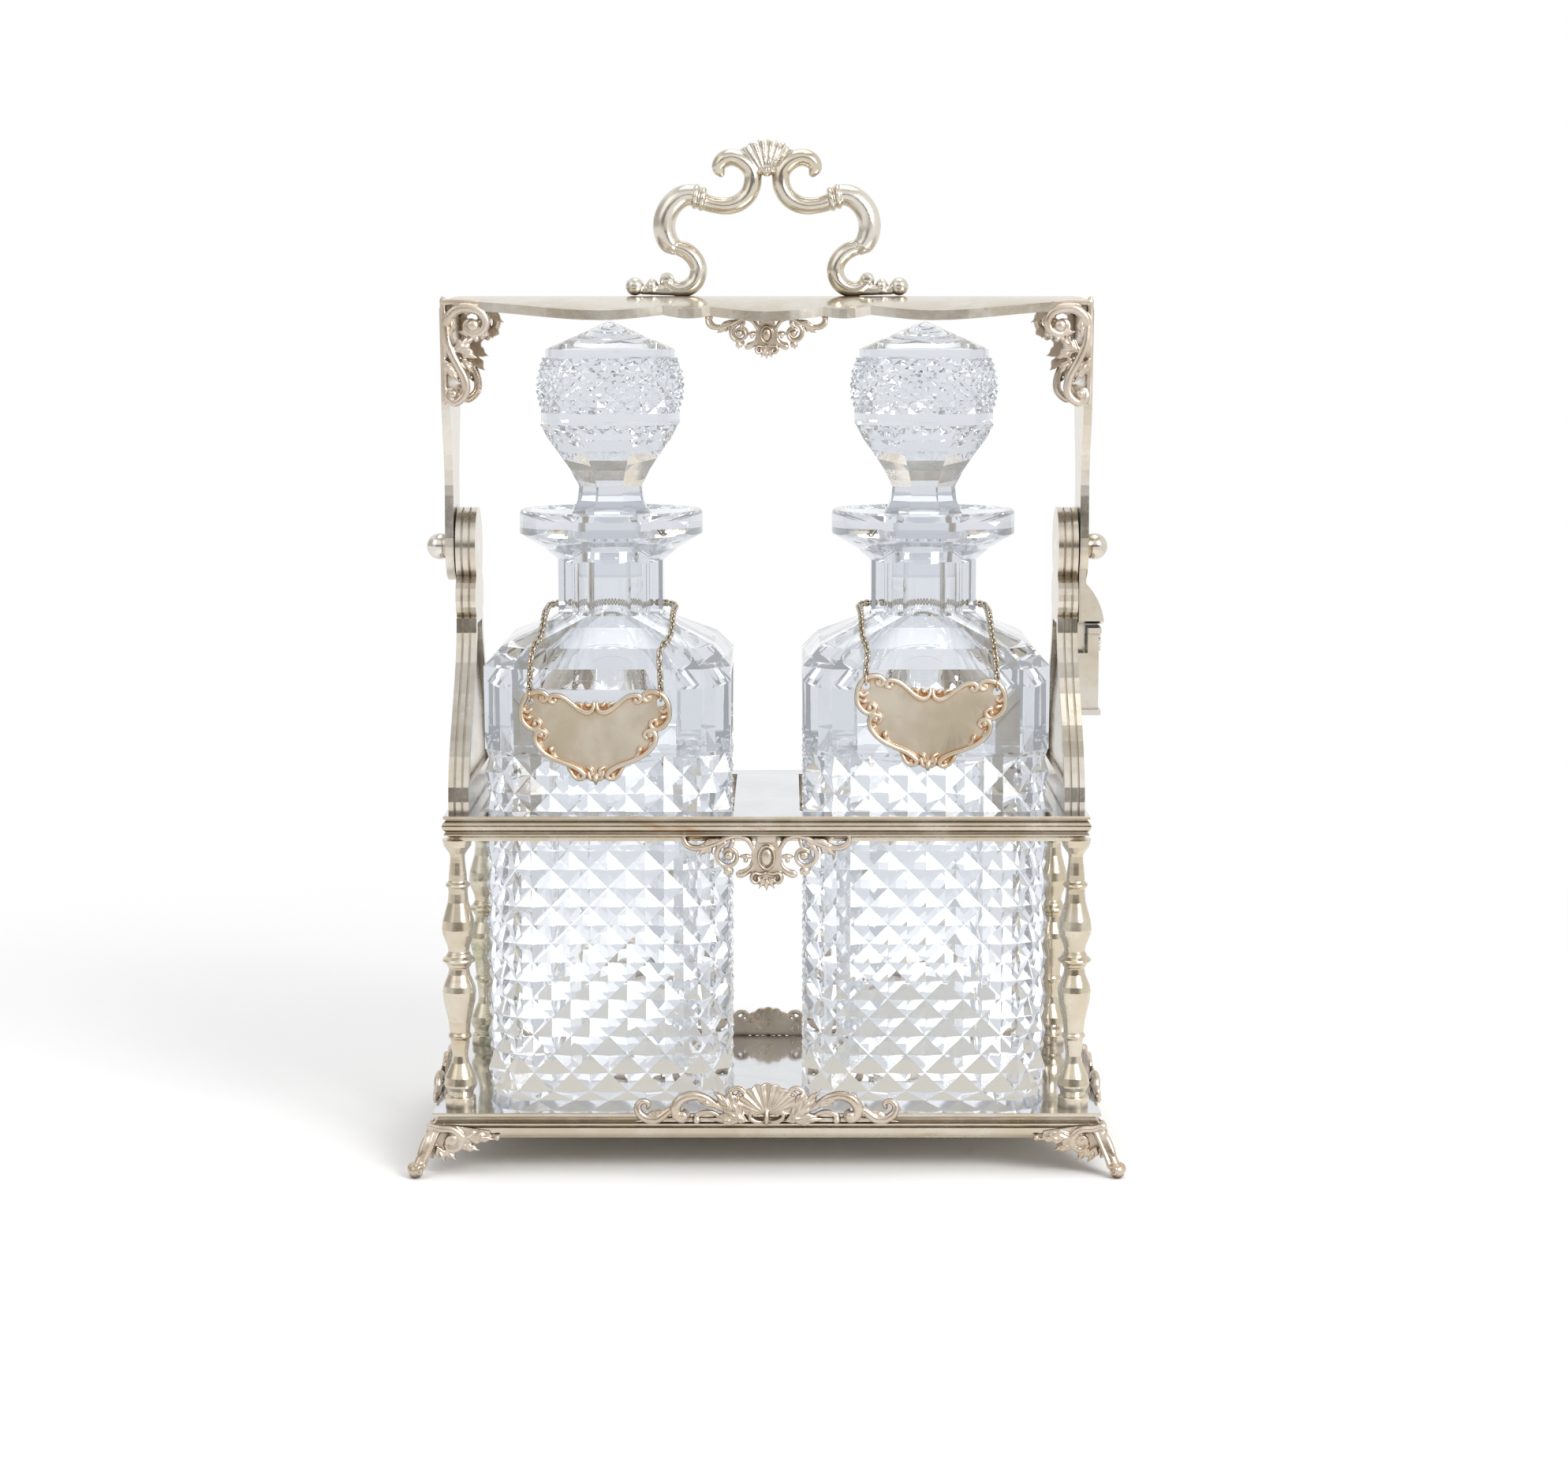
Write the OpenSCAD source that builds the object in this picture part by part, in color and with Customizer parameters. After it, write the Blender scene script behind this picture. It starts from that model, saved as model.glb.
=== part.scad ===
// Two-bottle swing-bail tantalus in silver plate, with diamond-cut decanters.
// Origin at the middle of the footprint, on the table. X to the right, Y away
// from the front, Z up. Millimetres.

/* [Tray] */
// Width of the tray over its moulding
tray_w = 232; // [230:1:236]
// Depth of the tray over its moulding
tray_d = 116; // [114:1:120]
// Height of the tray's top above the table
tray_top = 21.5; // [21:0.5:23]
// Height of the tray's moulded edge
tray_h = 9; // [8.5:0.5:10]

/* [Gallery] */
// Height of a baluster between tray and gallery
baluster_h = 94.5; // [90:0.5:98]
// Spacing of the balusters across the width
baluster_dx = 214; // [212:1:215]
// Spacing of the balusters across the depth
baluster_dy = 94; // [92:1:95]
// Width of the gallery over its moulding
gallery_w = 223; // [222:1:226]
// Depth of the gallery over its moulding
gallery_d = 109; // [108:1:112]
// Height of the gallery's moulded edge
gallery_h = 9; // [8.5:0.5:10]
// Side of each square bay
bay = 88; // [87.5:0.5:89]

/* [Uprights] */
// Distance between the outer faces of the uprights
upright_span = 219.6; // [219:0.2:220]
// Thickness of an upright over its reeded edge
upright_t = 7; // [6:0.5:7]
// Half width of an upright where it stands on the gallery
upright_foot = 48; // [44:1:50]
// Height of the pivots above the gallery
pivot_rise = 88.7; // [88:0.1:90]
// Radius of an upright's round head
head_r = 14; // [13.5:0.5:14.5]

/* [Bail] */
// Gap between an upright and the bail's arm
arm_gap = 0.7; // [0.5:0.1:0.8]
// Thickness of an arm with its rim
arm_t = 3; // [2.8:0.1:3]
// Radius of an arm's round lower end
arm_end_r = 12; // [11.5:0.5:12.5]
// Height of the plate's ridge above the pivots
plate_rise = 88.3; // [88:0.1:90]
// Radius of the crown across the plate
crown_r = 90; // [88:1:92]
// Thickness of the plate
plate_t = 2.6; // [2.4:0.1:2.8]
// Height of the rim above the plate
rim_h = 0.5; // [0.3:0.1:0.6]
// Width of the rim
rim_w = 2; // [1.5:0.1:2.5]
// Radius of the pivot pins
pin_r = 2.5; // [2.3:0.1:2.6]
// Running clearance round the pins
pin_clear = 0.06; // [0.04:0.01:0.1]

/* [Decanters] */
// Width of a square decanter
bottle_w = 86; // [85:0.5:86]
// Width taken by each canted corner
bottle_cant = 10; // [9:0.5:11]
// Distance of a decanter's axis from the middle
bottle_x = 55.5; // [55:0.5:56]
// Diamonds across one face
diamonds_x = 5; // [4:1:6]
// Diamonds up one face
diamonds_z = 9; // [8:1:10]
// Depth of the grooves between the diamonds
groove = 2.2; // [1.5:0.1:2.4]
// Height of the diamond field
diamond_h = 119; // [116:1:120]
// Radius of the neck's bore
bore_r = 9.5; // [9:0.1:9.8]
// Diameter of the lip
lip_d = 65; // [62:1:66]
// Clearance of the stopper's ground plug
plug_clear = 0.08; // [0.05:0.01:0.1]
// Diamonds round the stopper
stopper_diamonds = 24; // [20:1:26]

/* [Labels and chains] */
// Width of a label
label_w = 53; // [50:1:54]
// Height of a label
label_h = 33.5; // [32:0.5:35]
// Thickness of the chain's wire
wire_d = 0.85; // [0.75:0.05:0.9]
// Inner width of a round link
link_inner = 2.05; // [2:0.05:2.2]

/* [Hidden] */
$fn = 48;

silver = [0.80, 0.76, 0.70];
old_silver = [0.70, 0.64, 0.54];
bright_silver = [0.86, 0.86, 0.87];
dark_metal = [0.45, 0.42, 0.38];
crystal = [0.84, 0.89, 0.96];

tray_z = tray_top - tray_h;
gallery_z = tray_top + baluster_h;
gallery_top = gallery_z + gallery_h;
pivot_z = gallery_top + pivot_rise;
upright_x = upright_span / 2;
arm_x = upright_x + arm_gap;
bail_x = arm_x + arm_t;
plate_z = pivot_z + plate_rise;
under_r = crown_r - plate_t;
sheet_t = 1.6;
face_y = bottle_w / 2;

// Points of an arc, angles measured from the first axis.
function arc(c, r, a0, a1, n = 10) =
    [for (i = [0 : n]) let (a = a0 + (a1 - a0) * i / n) [c[0] + r * cos(a), c[1] + r * sin(a)]];

// Eases from 0 to 1 with a level start and end.
function ease(t) = (1 - cos(180 * t)) / 2;

// Fills a list of [position, size] keys with eased steps, as on a turned baluster.
function eased(keys, n = 4) = concat(
    [for (k = [0 : len(keys) - 2], i = [0 : n - 1])
        let (t = i / n, a = keys[k], b = keys[k + 1])
        [a[0] + (b[0] - a[0]) * t, a[1] + (b[1] - a[1]) * ease(t)]],
    [keys[len(keys) - 1]]);

function reversed(list) = [for (i = [len(list) - 1 : -1 : 0]) list[i]];

// Turns a key list of [height, radius] round the Z axis.
module turned(keys, n = 4) {
    side = eased(keys, n);
    rotate_extrude()
        polygon(concat(
            [[0, side[0][0]]],
            [for (p = side) [p[1], p[0]]],
            [[0, side[len(side) - 1][0]]]));
}

// Block whose four sides carry one moulding: [inset, height] points from the bottom up.
module moulded_block(w, d, edge) {
    intersection() {
        rotate([90, 0, 0])
            linear_extrude(d + 2, center = true)
                polygon(concat(
                    [for (p = edge) [w / 2 - p[0], p[1]]],
                    [for (p = reversed(edge)) [p[0] - w / 2, p[1]]]));
        rotate([90, 0, 90])
            linear_extrude(w + 2, center = true)
                polygon(concat(
                    [for (p = edge) [d / 2 - p[0], p[1]]],
                    [for (p = reversed(edge)) [p[0] - d / 2, p[1]]]));
    }
}

// Tapered bar from one point to another.
module bar(a, b, ra, rb) {
    v = b - a;
    translate(a)
        rotate([0, acos(v[2] / norm(v)), atan2(v[1], v[0])])
            cylinder(h = norm(v), r1 = ra, r2 = rb);
}

// The same with round ends.
module rod(a, b, ra, rb) {
    bar(a, b, ra, rb);
    translate(a)
        sphere(r = ra * 1.02);
    translate(b)
        sphere(r = rb * 1.02);
}

// Spiral band whose radius and width run from one end to the other.
module spiral(r0, r1, a0, a1, w0, w1, n = 22) {
    polygon(concat(
        [for (i = [0 : n]) let (t = i / n, a = a0 + (a1 - a0) * t, r = r0 + (r1 - r0) * t,
            w = w0 + (w1 - w0) * t) (r + w / 2) * [cos(a), sin(a)]],
        [for (i = [n : -1 : 0]) let (t = i / n, a = a0 + (a1 - a0) * t, r = r0 + (r1 - r0) * t,
            w = w0 + (w1 - w0) * t) (r - w / 2) * [cos(a), sin(a)]]));
}

// Lobed leaf along the first axis, bent upward by a rise at its tip.
function leaf_half(t, width, wave) =
    width / 2 * (0.15 + sin(180 * pow(t, 0.7))) * (0.78 + 0.22 * abs(wave)) * (1 - t * t);

module leaf(length, width, lobes = 3, rise = 0, n = 16) {
    polygon(concat(
        [for (i = [0 : n]) let (t = i / n)
            [length * t, rise * t * t + leaf_half(t, width, cos(180 * lobes * t))]],
        [for (i = [n : -1 : 0]) let (t = i / n)
            [length * t, rise * t * t - leaf_half(t, width, sin(180 * lobes * t))]]));
}

// Both halves of something that is the same left and right.
module both_sides() {
    children();
    mirror([1, 0, 0])
        children();
}

// Stands a flat ornament up: its sheet faces the front, its back lies at y = 0.
module stand_up(t) {
    rotate([90, 0, 0])
        linear_extrude(t)
            children();
}

// Tray ornament: shell between acanthus sprays and scrolls, 94 wide and 14.5 tall.
mount_h = 14.5;
shell_r = 10.8;
shell_flutes = 9;
flute_gap = 0.5;
flute_depth = 0.7;

// Outline of a scalloped fan, and the lines that part its flutes.
module shell_outline(r, flutes, spread) {
    step = spread / (flutes - 1);
    tip = r * sin(step / 2) * 1.02;
    polygon(concat([[0, 0]], arc([0, 0], r - tip, 90 - spread / 2, 90 + spread / 2, 2 * flutes)));
    for (i = [0 : flutes - 1])
        rotate(90 + step * i - spread / 2)
            translate([r - tip, 0])
                circle(r = tip, $fn = 24);
}

module shell_lines(r, flutes, spread) {
    for (i = [1 : flutes - 1])
        rotate(90 + spread / (flutes - 1) * (i - 0.5) - spread / 2)
            translate([r * 0.34, -flute_gap / 2])
                square([r, flute_gap]);
}

module tray_mount_side() {
    // C-scroll beside the shell
    translate([13.2, 7])
        spiral(4.6, 2.2, 150, -190, 2.2, 1.4);
    // Acanthus spray under it
    translate([4, 1.6])
        leaf(17, 6.4, 4, 1.5);
    translate([9, 3.4])
        rotate(52)
            leaf(10, 4, 2, 0);
    // Arm that runs to the large volute
    translate([24.5, 3.4])
        spiral(4.7, 4.7, 200, 20, 2.2, 1.8);
    translate([24.5, 3.4])
        circle(r = 1.9, $fn = 24);
    translate([17, 0.4])
        square([10, 2]);
    // Wave between the volutes
    translate([27, 1.2])
        leaf(12, 3.6, 1, -0.6);
    translate([36, 2.2])
        spiral(3.4, 3.4, 190, 345, 1.9, 1.9);
    // End scroll
    translate([42.4, 4.2])
        spiral(3.6, 1.8, -150, 150, 1.7, 1.1);
    translate([41.6, 3.8])
        circle(r = 1.3, $fn = 24);
    translate([33, -0.2])
        square([6, 1.8]);
}

module tray_mount(size = 1) {
    scale(size) {
        stand_up(1.8)
            both_sides()
                tray_mount_side();
        difference() {
            translate([0, 0, mount_h - shell_r])
                stand_up(3)
                    shell_outline(shell_r, shell_flutes, 168);
            translate([0, flute_depth - 3, mount_h - shell_r])
                stand_up(3)
                    shell_lines(shell_r, shell_flutes, 168);
        }
        stand_up(2.2)
            translate([-7, 0])
                square([14, 5]);
        both_sides()
            translate([4.6, -1.4, 2.2])
                rotate([90, 0, 0])
                    cylinder(h = 1.6, r = 2.1);
    }
}

module tray_mount_at(side) {
    // Front, rear, left and right in turn
    turn = [0, 180, 270, 90][side];
    reach = side < 2 ? tray_d / 2 : tray_w / 2;
    size = side < 2 ? 1 : 0.78;
    color(old_silver)
        rotate([0, 0, turn])
            translate([0, -reach, tray_top - 3.4])
                tray_mount(size);
}

// Tray moulding from the bottom up: ovolo, groove, bead, cove, groove and fillet.
tray_edge = concat(
    [[1.6, tray_z]],
    arc([2.4, tray_z + 2.6], 2.4, 240, 180, 5),
    [[0, tray_z + 3.8], [1, tray_z + 4.1], [1, tray_z + 4.5], [0.3, tray_z + 4.7],
     [0.3, tray_z + 5.2], [1.3, tray_z + 5.6]],
    arc([0.9, tray_z + 6.8], 1.1, -70, 40, 4),
    [[0.9, tray_z + 7.6], [0, tray_top - 1.2], [0, tray_top - 0.3], [0.3, tray_top]]);

base_plate_t = 1.2;
recess_wall = 5;
recess_d = tray_h - sheet_t;
stud_r = 2;
nut_r = 4;
nut_h = 2.6;

module base_tray() {
    color(silver)
        difference() {
            moulded_block(tray_w, tray_d, tray_edge);
            translate([recess_wall - tray_w / 2, recess_wall - tray_d / 2, tray_z - 1])
                cube([tray_w - 2 * recess_wall, tray_d - 2 * recess_wall, recess_d + 1]);
            for (x = [-1, 1], y = [-1, 1])
                translate([x * baluster_dx / 2, y * baluster_dy / 2, tray_z])
                    cylinder(h = tray_h + 1, r = stud_r);
        }
}

module base_plate() {
    color(silver)
        translate([recess_wall - tray_w / 2, recess_wall - tray_d / 2, tray_z])
            cube([tray_w - 2 * recess_wall, tray_d - 2 * recess_wall, base_plate_t]);
}

// Cast foot: a cabochon leg that leans out to a toe scroll, with a wing along each side.
leg_top = [112.5, 54.5, 13.5];
leg_low = [119.6, 61.6, 5];
toe = [121.6, 63.6, 2.6];
wing_t = 2.2;

module foot_wing() {
    // Drawn from the corner along the tray: X inward, Y up from the table
    translate([-2, 8])
        square([9, 9.5]);
    translate([9.2, 10.6])
        spiral(3.6, 1.6, 110, -220, 1.9, 1.2);
    translate([9.2, 10.6])
        circle(r = 1.4, $fn = 24);
    translate([2, 8.6])
        rotate(-42)
            leaf(8.8, 4.6, 2, 1);
    translate([11, 12.6])
        leaf(19, 6.6, 4, 2.6);
    translate([3, 14])
        square([17, 3.2]);
}

module foot_corner() {
    room = 40;
    difference() {
        union() {
            rod(leg_top, leg_low, 5.2, 3.6);
            rod(leg_low, toe, 3.2, 2.8);
            translate([tray_w / 2, tray_d / 2 + wing_t, 0])
                mirror([1, 0, 0])
                    stand_up(wing_t)
                        foot_wing();
            translate([tray_w / 2 + wing_t, tray_d / 2, 0])
                rotate([0, 0, -90])
                    stand_up(wing_t)
                        foot_wing();
        }
        translate([tray_w / 2 - room, tray_d / 2 - room, tray_z])
            cube([room, room, tray_h]);
        translate([tray_w / 2 - room / 2, tray_d / 2 - room / 2, -room])
            cube(room);
    }
}

// One corner, front or rear and left or right.
module foot_at(front, left) {
    color(old_silver)
        mirror([left ? 1 : 0, 0, 0])
            mirror([0, front ? 1 : 0, 0])
                foot_corner();
}

// Baluster, from the tray up: foot disc, flare, waist, two bulbs with a saucer ring, neck, flare.
baluster_keys = [
    [0, 5.3], [3.4, 5.3], [4.2, 4.4], [5, 4.5], [8, 5.8], [18, 2.7], [23.5, 3.3],
    [25, 4.1], [26.5, 3.5], [41, 5.8], [49, 3.5], [50.2, 4.2], [52, 5.8], [54, 4.2],
    [55.2, 3.6], [63, 5.8], [75.5, 3.3], [77, 3.3], [78.5, 4.3], [80, 3.2], [88.5, 2.5],
    [93.2, 4.9], [94.5, 5.2]];
baluster_grow = baluster_h / 94.5;
spigot = 3;

module baluster_at(front, left) {
    color(silver)
        translate([(left ? -1 : 1) * baluster_dx / 2, (front ? -1 : 1) * baluster_dy / 2, tray_top]) {
            turned([for (k = baluster_keys) [k[0] * baluster_grow, k[1]]]);
            translate([0, 0, baluster_h])
                cylinder(h = spigot, r = stud_r);
            translate([0, 0, -sheet_t - nut_h])
                cylinder(h = sheet_t + nut_h, r = stud_r);
        }
}

// Round nuts under the tray's sheet, one on each baluster's stud.
module baluster_nuts() {
    color(dark_metal)
        for (x = [-1, 1], y = [-1, 1])
            translate([x * baluster_dx / 2, y * baluster_dy / 2, tray_top - sheet_t - nut_h])
                difference() {
                    cylinder(h = nut_h, r = nut_r);
                    translate([0, 0, -1])
                        cylinder(h = nut_h + 2, r = stud_r);
                }
}

// Gallery moulding from the bottom up: cove, fillet, groove, rounded band, groove and bead.
gallery_edge = concat(
    arc([0.6, gallery_z - 0.4], 2.6, asin(0.4 / 2.6), 86, 5),
    [[0.6, gallery_z + 2.2], [0.6, gallery_z + 2.7], [1.4, gallery_z + 2.9], [1.4, gallery_z + 3.4]],
    arc([1.9, gallery_z + 5.4], 1.9, 230, 130, 6),
    [[1.3, gallery_z + 7.3], [1.3, gallery_z + 7.8], [0.4, gallery_z + 8], [0.4, gallery_top - 0.2],
     [0.6, gallery_top]]);
screw_r = 1.5;
screw_head_r = 2.8;
screw_y = 30;
screw_reach = 6;

module gallery_screw_places() {
    for (x = [-1, 1], y = [-1, 1])
        translate([x * (upright_x - upright_t / 2), y * screw_y, gallery_z])
            children();
}

module gallery_frame() {
    color(silver)
        difference() {
            moulded_block(gallery_w, gallery_d, gallery_edge);
            for (x = [-1, 1])
                translate([x * bottle_x - bay / 2, -bay / 2, gallery_z - 1])
                    cube([bay, bay, gallery_h + 2]);
            for (x = [-1, 1], y = [-1, 1])
                translate([x * baluster_dx / 2, y * baluster_dy / 2, gallery_z - 1])
                    cylinder(h = spigot + 1, r = stud_r);
            gallery_screw_places() {
                translate([0, 0, -1])
                    cylinder(h = gallery_h + 2, r = screw_r);
                translate([0, 0, -1])
                    cylinder(h = 3, r = screw_head_r);
            }
        }
}

// Screws from below that hold the uprights.
module gallery_screws() {
    color(dark_metal)
        gallery_screw_places() {
            translate([0, 0, 0.2])
                cylinder(h = 1.8, r = screw_head_r);
            translate([0, 0, 2])
                cylinder(h = gallery_h - 2 + screw_reach, r = screw_r);
        }
}

// Cartouche with an oval boss between ringed scrolls, 59.6 wide and 21.5 tall. It hangs
// by a strip, below which it shows.
pendant_half = 28.4;
strip_h = 1.4;
module pendant_outline(cut) {
    both_sides() {
        translate([0, -cut - strip_h])
            square([pendant_half, strip_h]);
        // Shield
        polygon(concat([[0, 0], [4.6, 0], [5.4, -1.4], [3.4, -2.6]],
            arc([0, -8.2], 5.2, 65, -55, 8), [[1.6, -15.2], [0, -15.4]]));
        // Palmette in five points
        for (a = [-90, -60, -32])
            translate([0, -12.6])
                rotate(a)
                    translate([2, 0])
                        leaf(a == -90 ? 7 : 5.8, 3.4, 1);
        // Side arm and the scroll that it carries
        translate([3.6, -2.4])
            square([5, 2.2]);
        translate([12.2, -5.4])
            spiral(4.3, 2, 150, -250, 1.6, 1.1, 30);
        translate([12.2, -5.4])
            circle(r = 1.8, $fn = 24);
        translate([11, -8.2])
            rotate(-80)
                leaf(5.6, 3.2, 1);
        translate([14.6, -2.6])
            rotate(-8)
                leaf(12.5, 6, 3, 0.6);
        // End curl
        translate([26.2, -2.6])
            spiral(2.8, 1.9, 230, -20, 1.5, 1);
        translate([28, -0.9])
            circle(r = 1.2, $fn = 24);
    }
}

pendant_t = 1.6;
module pendant(cut, size = 1) {
    scale(size) {
        stand_up(pendant_t)
            intersection() {
                pendant_outline(cut);
                translate([-2 * pendant_half, -2 * pendant_half - cut])
                    square([4 * pendant_half, 2 * pendant_half]);
            }
        // Oval boss on the shield
        translate([0, -1.4, -8.4])
            rotate([90, 0, 0])
                cylinder(h = 1.4, r1 = 3.4, r2 = 2.6);
        both_sides()
            translate([12.2, -1.4, -5.4])
                rotate([90, 0, 0])
                    cylinder(h = 1, r1 = 1.35, r2 = 0.9);
    }
}

pendant_top = 4;
module gallery_pendant(turn) {
    color(old_silver)
        rotate([0, 0, turn])
            translate([0, gallery_edge[0][0] + pendant_t - gallery_d / 2, gallery_z + pendant_top])
                pendant(pendant_top);
}

// Half width of an upright at each height over the gallery, below its side lobe.
upright_keys = [[4, upright_foot], [64, 12.4]];
lobe = [7.6, 71.5];
lobe_r = 7.6;
head_cusp = [10.2, 79];
upright_side = concat(
    [[upright_foot, 0]],
    [for (k = eased(upright_keys, 12)) [k[1], k[0]]],
    arc(lobe, lobe_r, -60, 60, 7),
    [head_cusp]);
reed_w = 1.8;
reed_depth = 0.7;
panel_inset = 4.5;
panel_depth = 2;
panel_low = 9;
panel_high = 62;

// Outline of an upright, drawn smaller by an inset.
module upright_outline(inset = 0) {
    translate([0, pivot_rise])
        circle(r = head_r - inset);
    polygon(concat(
        [for (p = upright_side) [p[0] - inset, p[1]]],
        [[0, pivot_rise]],
        reversed([for (p = upright_side) [inset - p[0], p[1]]])));
}

// Stands an outline up across the depth and gives it a thickness to the right.
module side_plate(t) {
    rotate([90, 0, 90])
        linear_extrude(t)
            children();
}

module upright() {
    translate([upright_x - upright_t, 0, gallery_top])
        difference() {
            union() {
                side_plate(upright_t)
                    upright_outline(reed_depth);
                for (i = [0 : 2])
                    translate([i * (upright_t - reed_w) / 2, 0, 0])
                        side_plate(reed_w)
                            upright_outline();
            }
            for (x = [-1, upright_t - panel_depth])
                translate([x, 0, 0])
                    side_plate(panel_depth + 1)
                        intersection() {
                            upright_outline(panel_inset);
                            translate([-upright_foot, panel_low])
                                square([2 * upright_foot, panel_high - panel_low]);
                        }
            translate([-1, 0, pivot_rise])
                rotate([0, 90, 0])
                    cylinder(h = upright_t + 2, r = pin_r);
            for (y = [-1, 1])
                translate([upright_t / 2, y * screw_y, -1])
                    cylinder(h = screw_reach + 1, r = screw_r);
        }
}

module upright_at(left) {
    color(silver)
        mirror([left ? 1 : 0, 0, 0])
            upright();
}

// Pivot screw: a pin through upright and arm, with a ball head outside.
ball_r = 4.7;
ball_x = bail_x + 3.1;
head_gap = 0.3;

module pivot_screw(left) {
    color(bright_silver)
        mirror([left ? 1 : 0, 0, 0])
            translate([0, 0, pivot_z]) {
                translate([upright_x - upright_t, 0, 0])
                    rotate([0, 90, 0])
                        cylinder(h = bail_x + head_gap + 1 - upright_x + upright_t, r = pin_r);
                intersection() {
                    translate([ball_x, 0, 0])
                        sphere(r = ball_r);
                    translate([bail_x + head_gap, -ball_r, -ball_r])
                        cube([3 * ball_r, 2 * ball_r, 2 * ball_r]);
                }
            }
}

// Lock on the right upright: a case whose upper end leaves a channel for the arm's tongue.
lock_low = pivot_z - 59.3;
lock_high = pivot_z - 28.2;
lock_step = pivot_z - 37.2;
lock_out = bail_x + 5;
lock_half = 11;
channel_x = bail_x + 0.3;
bolt_z = pivot_z - 33;
bolt_r = 2;
bolt_len = 3.2;
bolt_x = channel_x + 0.2;
lock_plug_r = 3;
lock_plug_x = bolt_x + bolt_len + 0.1;
bore_play = 0.06;
ledge_t = 2;
ledge_out = 0.8;

module lock_case() {
    color(silver)
        difference() {
            union() {
                translate([upright_x, -lock_half + ledge_out, lock_low])
                    cube([lock_out - ledge_out - upright_x, 2 * (lock_half - ledge_out), lock_high - lock_low]);
                for (z = [lock_low, lock_high - ledge_t])
                    translate([upright_x, -lock_half, z])
                        cube([lock_out - upright_x, 2 * lock_half, ledge_t]);
            }
            translate([upright_x - 1, -lock_half - 1, lock_step])
                cube([channel_x - upright_x + 1, 2 * lock_half + 2, lock_high - lock_step + 1]);
            translate([channel_x - 1, 0, bolt_z])
                rotate([0, 90, 0])
                    cylinder(h = 12, r = bolt_r + bore_play);
            translate([lock_plug_x - 0.05, 0, bolt_z])
                rotate([0, 90, 0])
                    cylinder(h = 12, r = lock_plug_r + bore_play);
            // Seat of the keyhole's ring
            translate([lock_out - ledge_out, 0, bolt_z])
                rotate([0, 90, 0])
                    cylinder(h = 3, r = escutcheon_r + 0.05);
        }
}

// Beaded ring round the keyhole.
escutcheon_r = 4.9;
escutcheon_w = 1.6;
escutcheon_h = 0.9;
escutcheon_beads = 14;

module lock_escutcheon() {
    color(bright_silver)
        translate([lock_out - ledge_out, 0, bolt_z])
            rotate([0, 90, 0]) {
                rotate_extrude()
                    translate([escutcheon_r - escutcheon_w, 0])
                        square([escutcheon_w, escutcheon_h]);
                for (i = [0 : escutcheon_beads - 1])
                    rotate([0, 0, 360 / escutcheon_beads * i])
                        translate([escutcheon_r - escutcheon_w / 2, 0, escutcheon_h])
                            sphere(r = 0.6);
            }
}

// Key-turned plug in the lock.
module lock_plug() {
    color(dark_metal)
        translate([lock_plug_x, 0, bolt_z])
            rotate([0, 90, 0])
                difference() {
                    cylinder(h = lock_out - lock_plug_x + 0.4, r = lock_plug_r);
                    translate([-2.2, -0.5, 0.8])
                        cube([4.4, 1, 5]);
                    translate([0, 0, 0.8])
                        cylinder(h = 5, r = 0.9);
                }
}

// Bolt that the plug drives into the tongue; drawn back at rest.
module lock_bolt() {
    color(dark_metal)
        translate([bolt_x, 0, bolt_z])
            rotate([0, 90, 0])
                cylinder(h = bolt_len, r = bolt_r);
}

// Half depth of the top plate at a distance from its middle: lobes between cusps.
lobe_1 = [19.5, 32, 27.2];
lobe_2 = [36, 3.05, 25.7];
lobe_3 = [57, 31];
corner_half = 20;

function plate_half(x) =
    x < lobe_1[0] ? lobe_1[2] + (lobe_1[1] - lobe_1[2]) * cos(90 * x / lobe_1[0])
    : x < lobe_2[0] ? let (t = (x - lobe_1[0]) / (lobe_2[0] - lobe_1[0]))
        lobe_1[2] + (lobe_2[2] - lobe_1[2]) * t + lobe_2[1] * sin(180 * t)
    : x < lobe_3[0] ? let (t = (x - lobe_2[0]) / (lobe_3[0] - lobe_2[0]))
        lobe_2[2] + (lobe_3[1] - lobe_2[2]) * sin(90 * t)
    : let (t = (x - lobe_3[0]) / (bail_x - lobe_3[0]))
        lobe_3[1] + (corner_half - lobe_3[1]) * ease(min(t, 1));

plate_stations = concat(
    [for (i = [0 : 4]) lobe_1[0] * i / 5],
    [for (i = [0 : 5]) lobe_1[0] + (lobe_2[0] - lobe_1[0]) * i / 6],
    [for (i = [0 : 4]) lobe_2[0] + (lobe_3[0] - lobe_2[0]) * i / 5],
    [for (i = [0 : 9]) lobe_3[0] + (bail_x - lobe_3[0]) * i / 9]);

module plate_plan(inset = 0) {
    half = [for (x = plate_stations) [x, plate_half(x) - inset]];
    polygon(concat(
        reversed([for (p = half) [-p[0], p[1]]]),
        half,
        reversed([for (p = half) [p[0], -p[1]]]),
        [for (p = half) [-p[0], -p[1]]]));
}

// Half width of an arm at each height over the pivot.
arm_keys = [[0, arm_end_r], [22.3, 10.7], [54.3, 18], [plate_rise + 3, corner_half + 0.2]];

module arm_outline(inset = 0) {
    side = eased(arm_keys, 6);
    circle(r = arm_end_r - inset);
    polygon(concat(
        [for (k = side) [k[1] - inset, k[0]]],
        reversed([for (k = side) [inset - k[1], k[0]]])));
}

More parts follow.
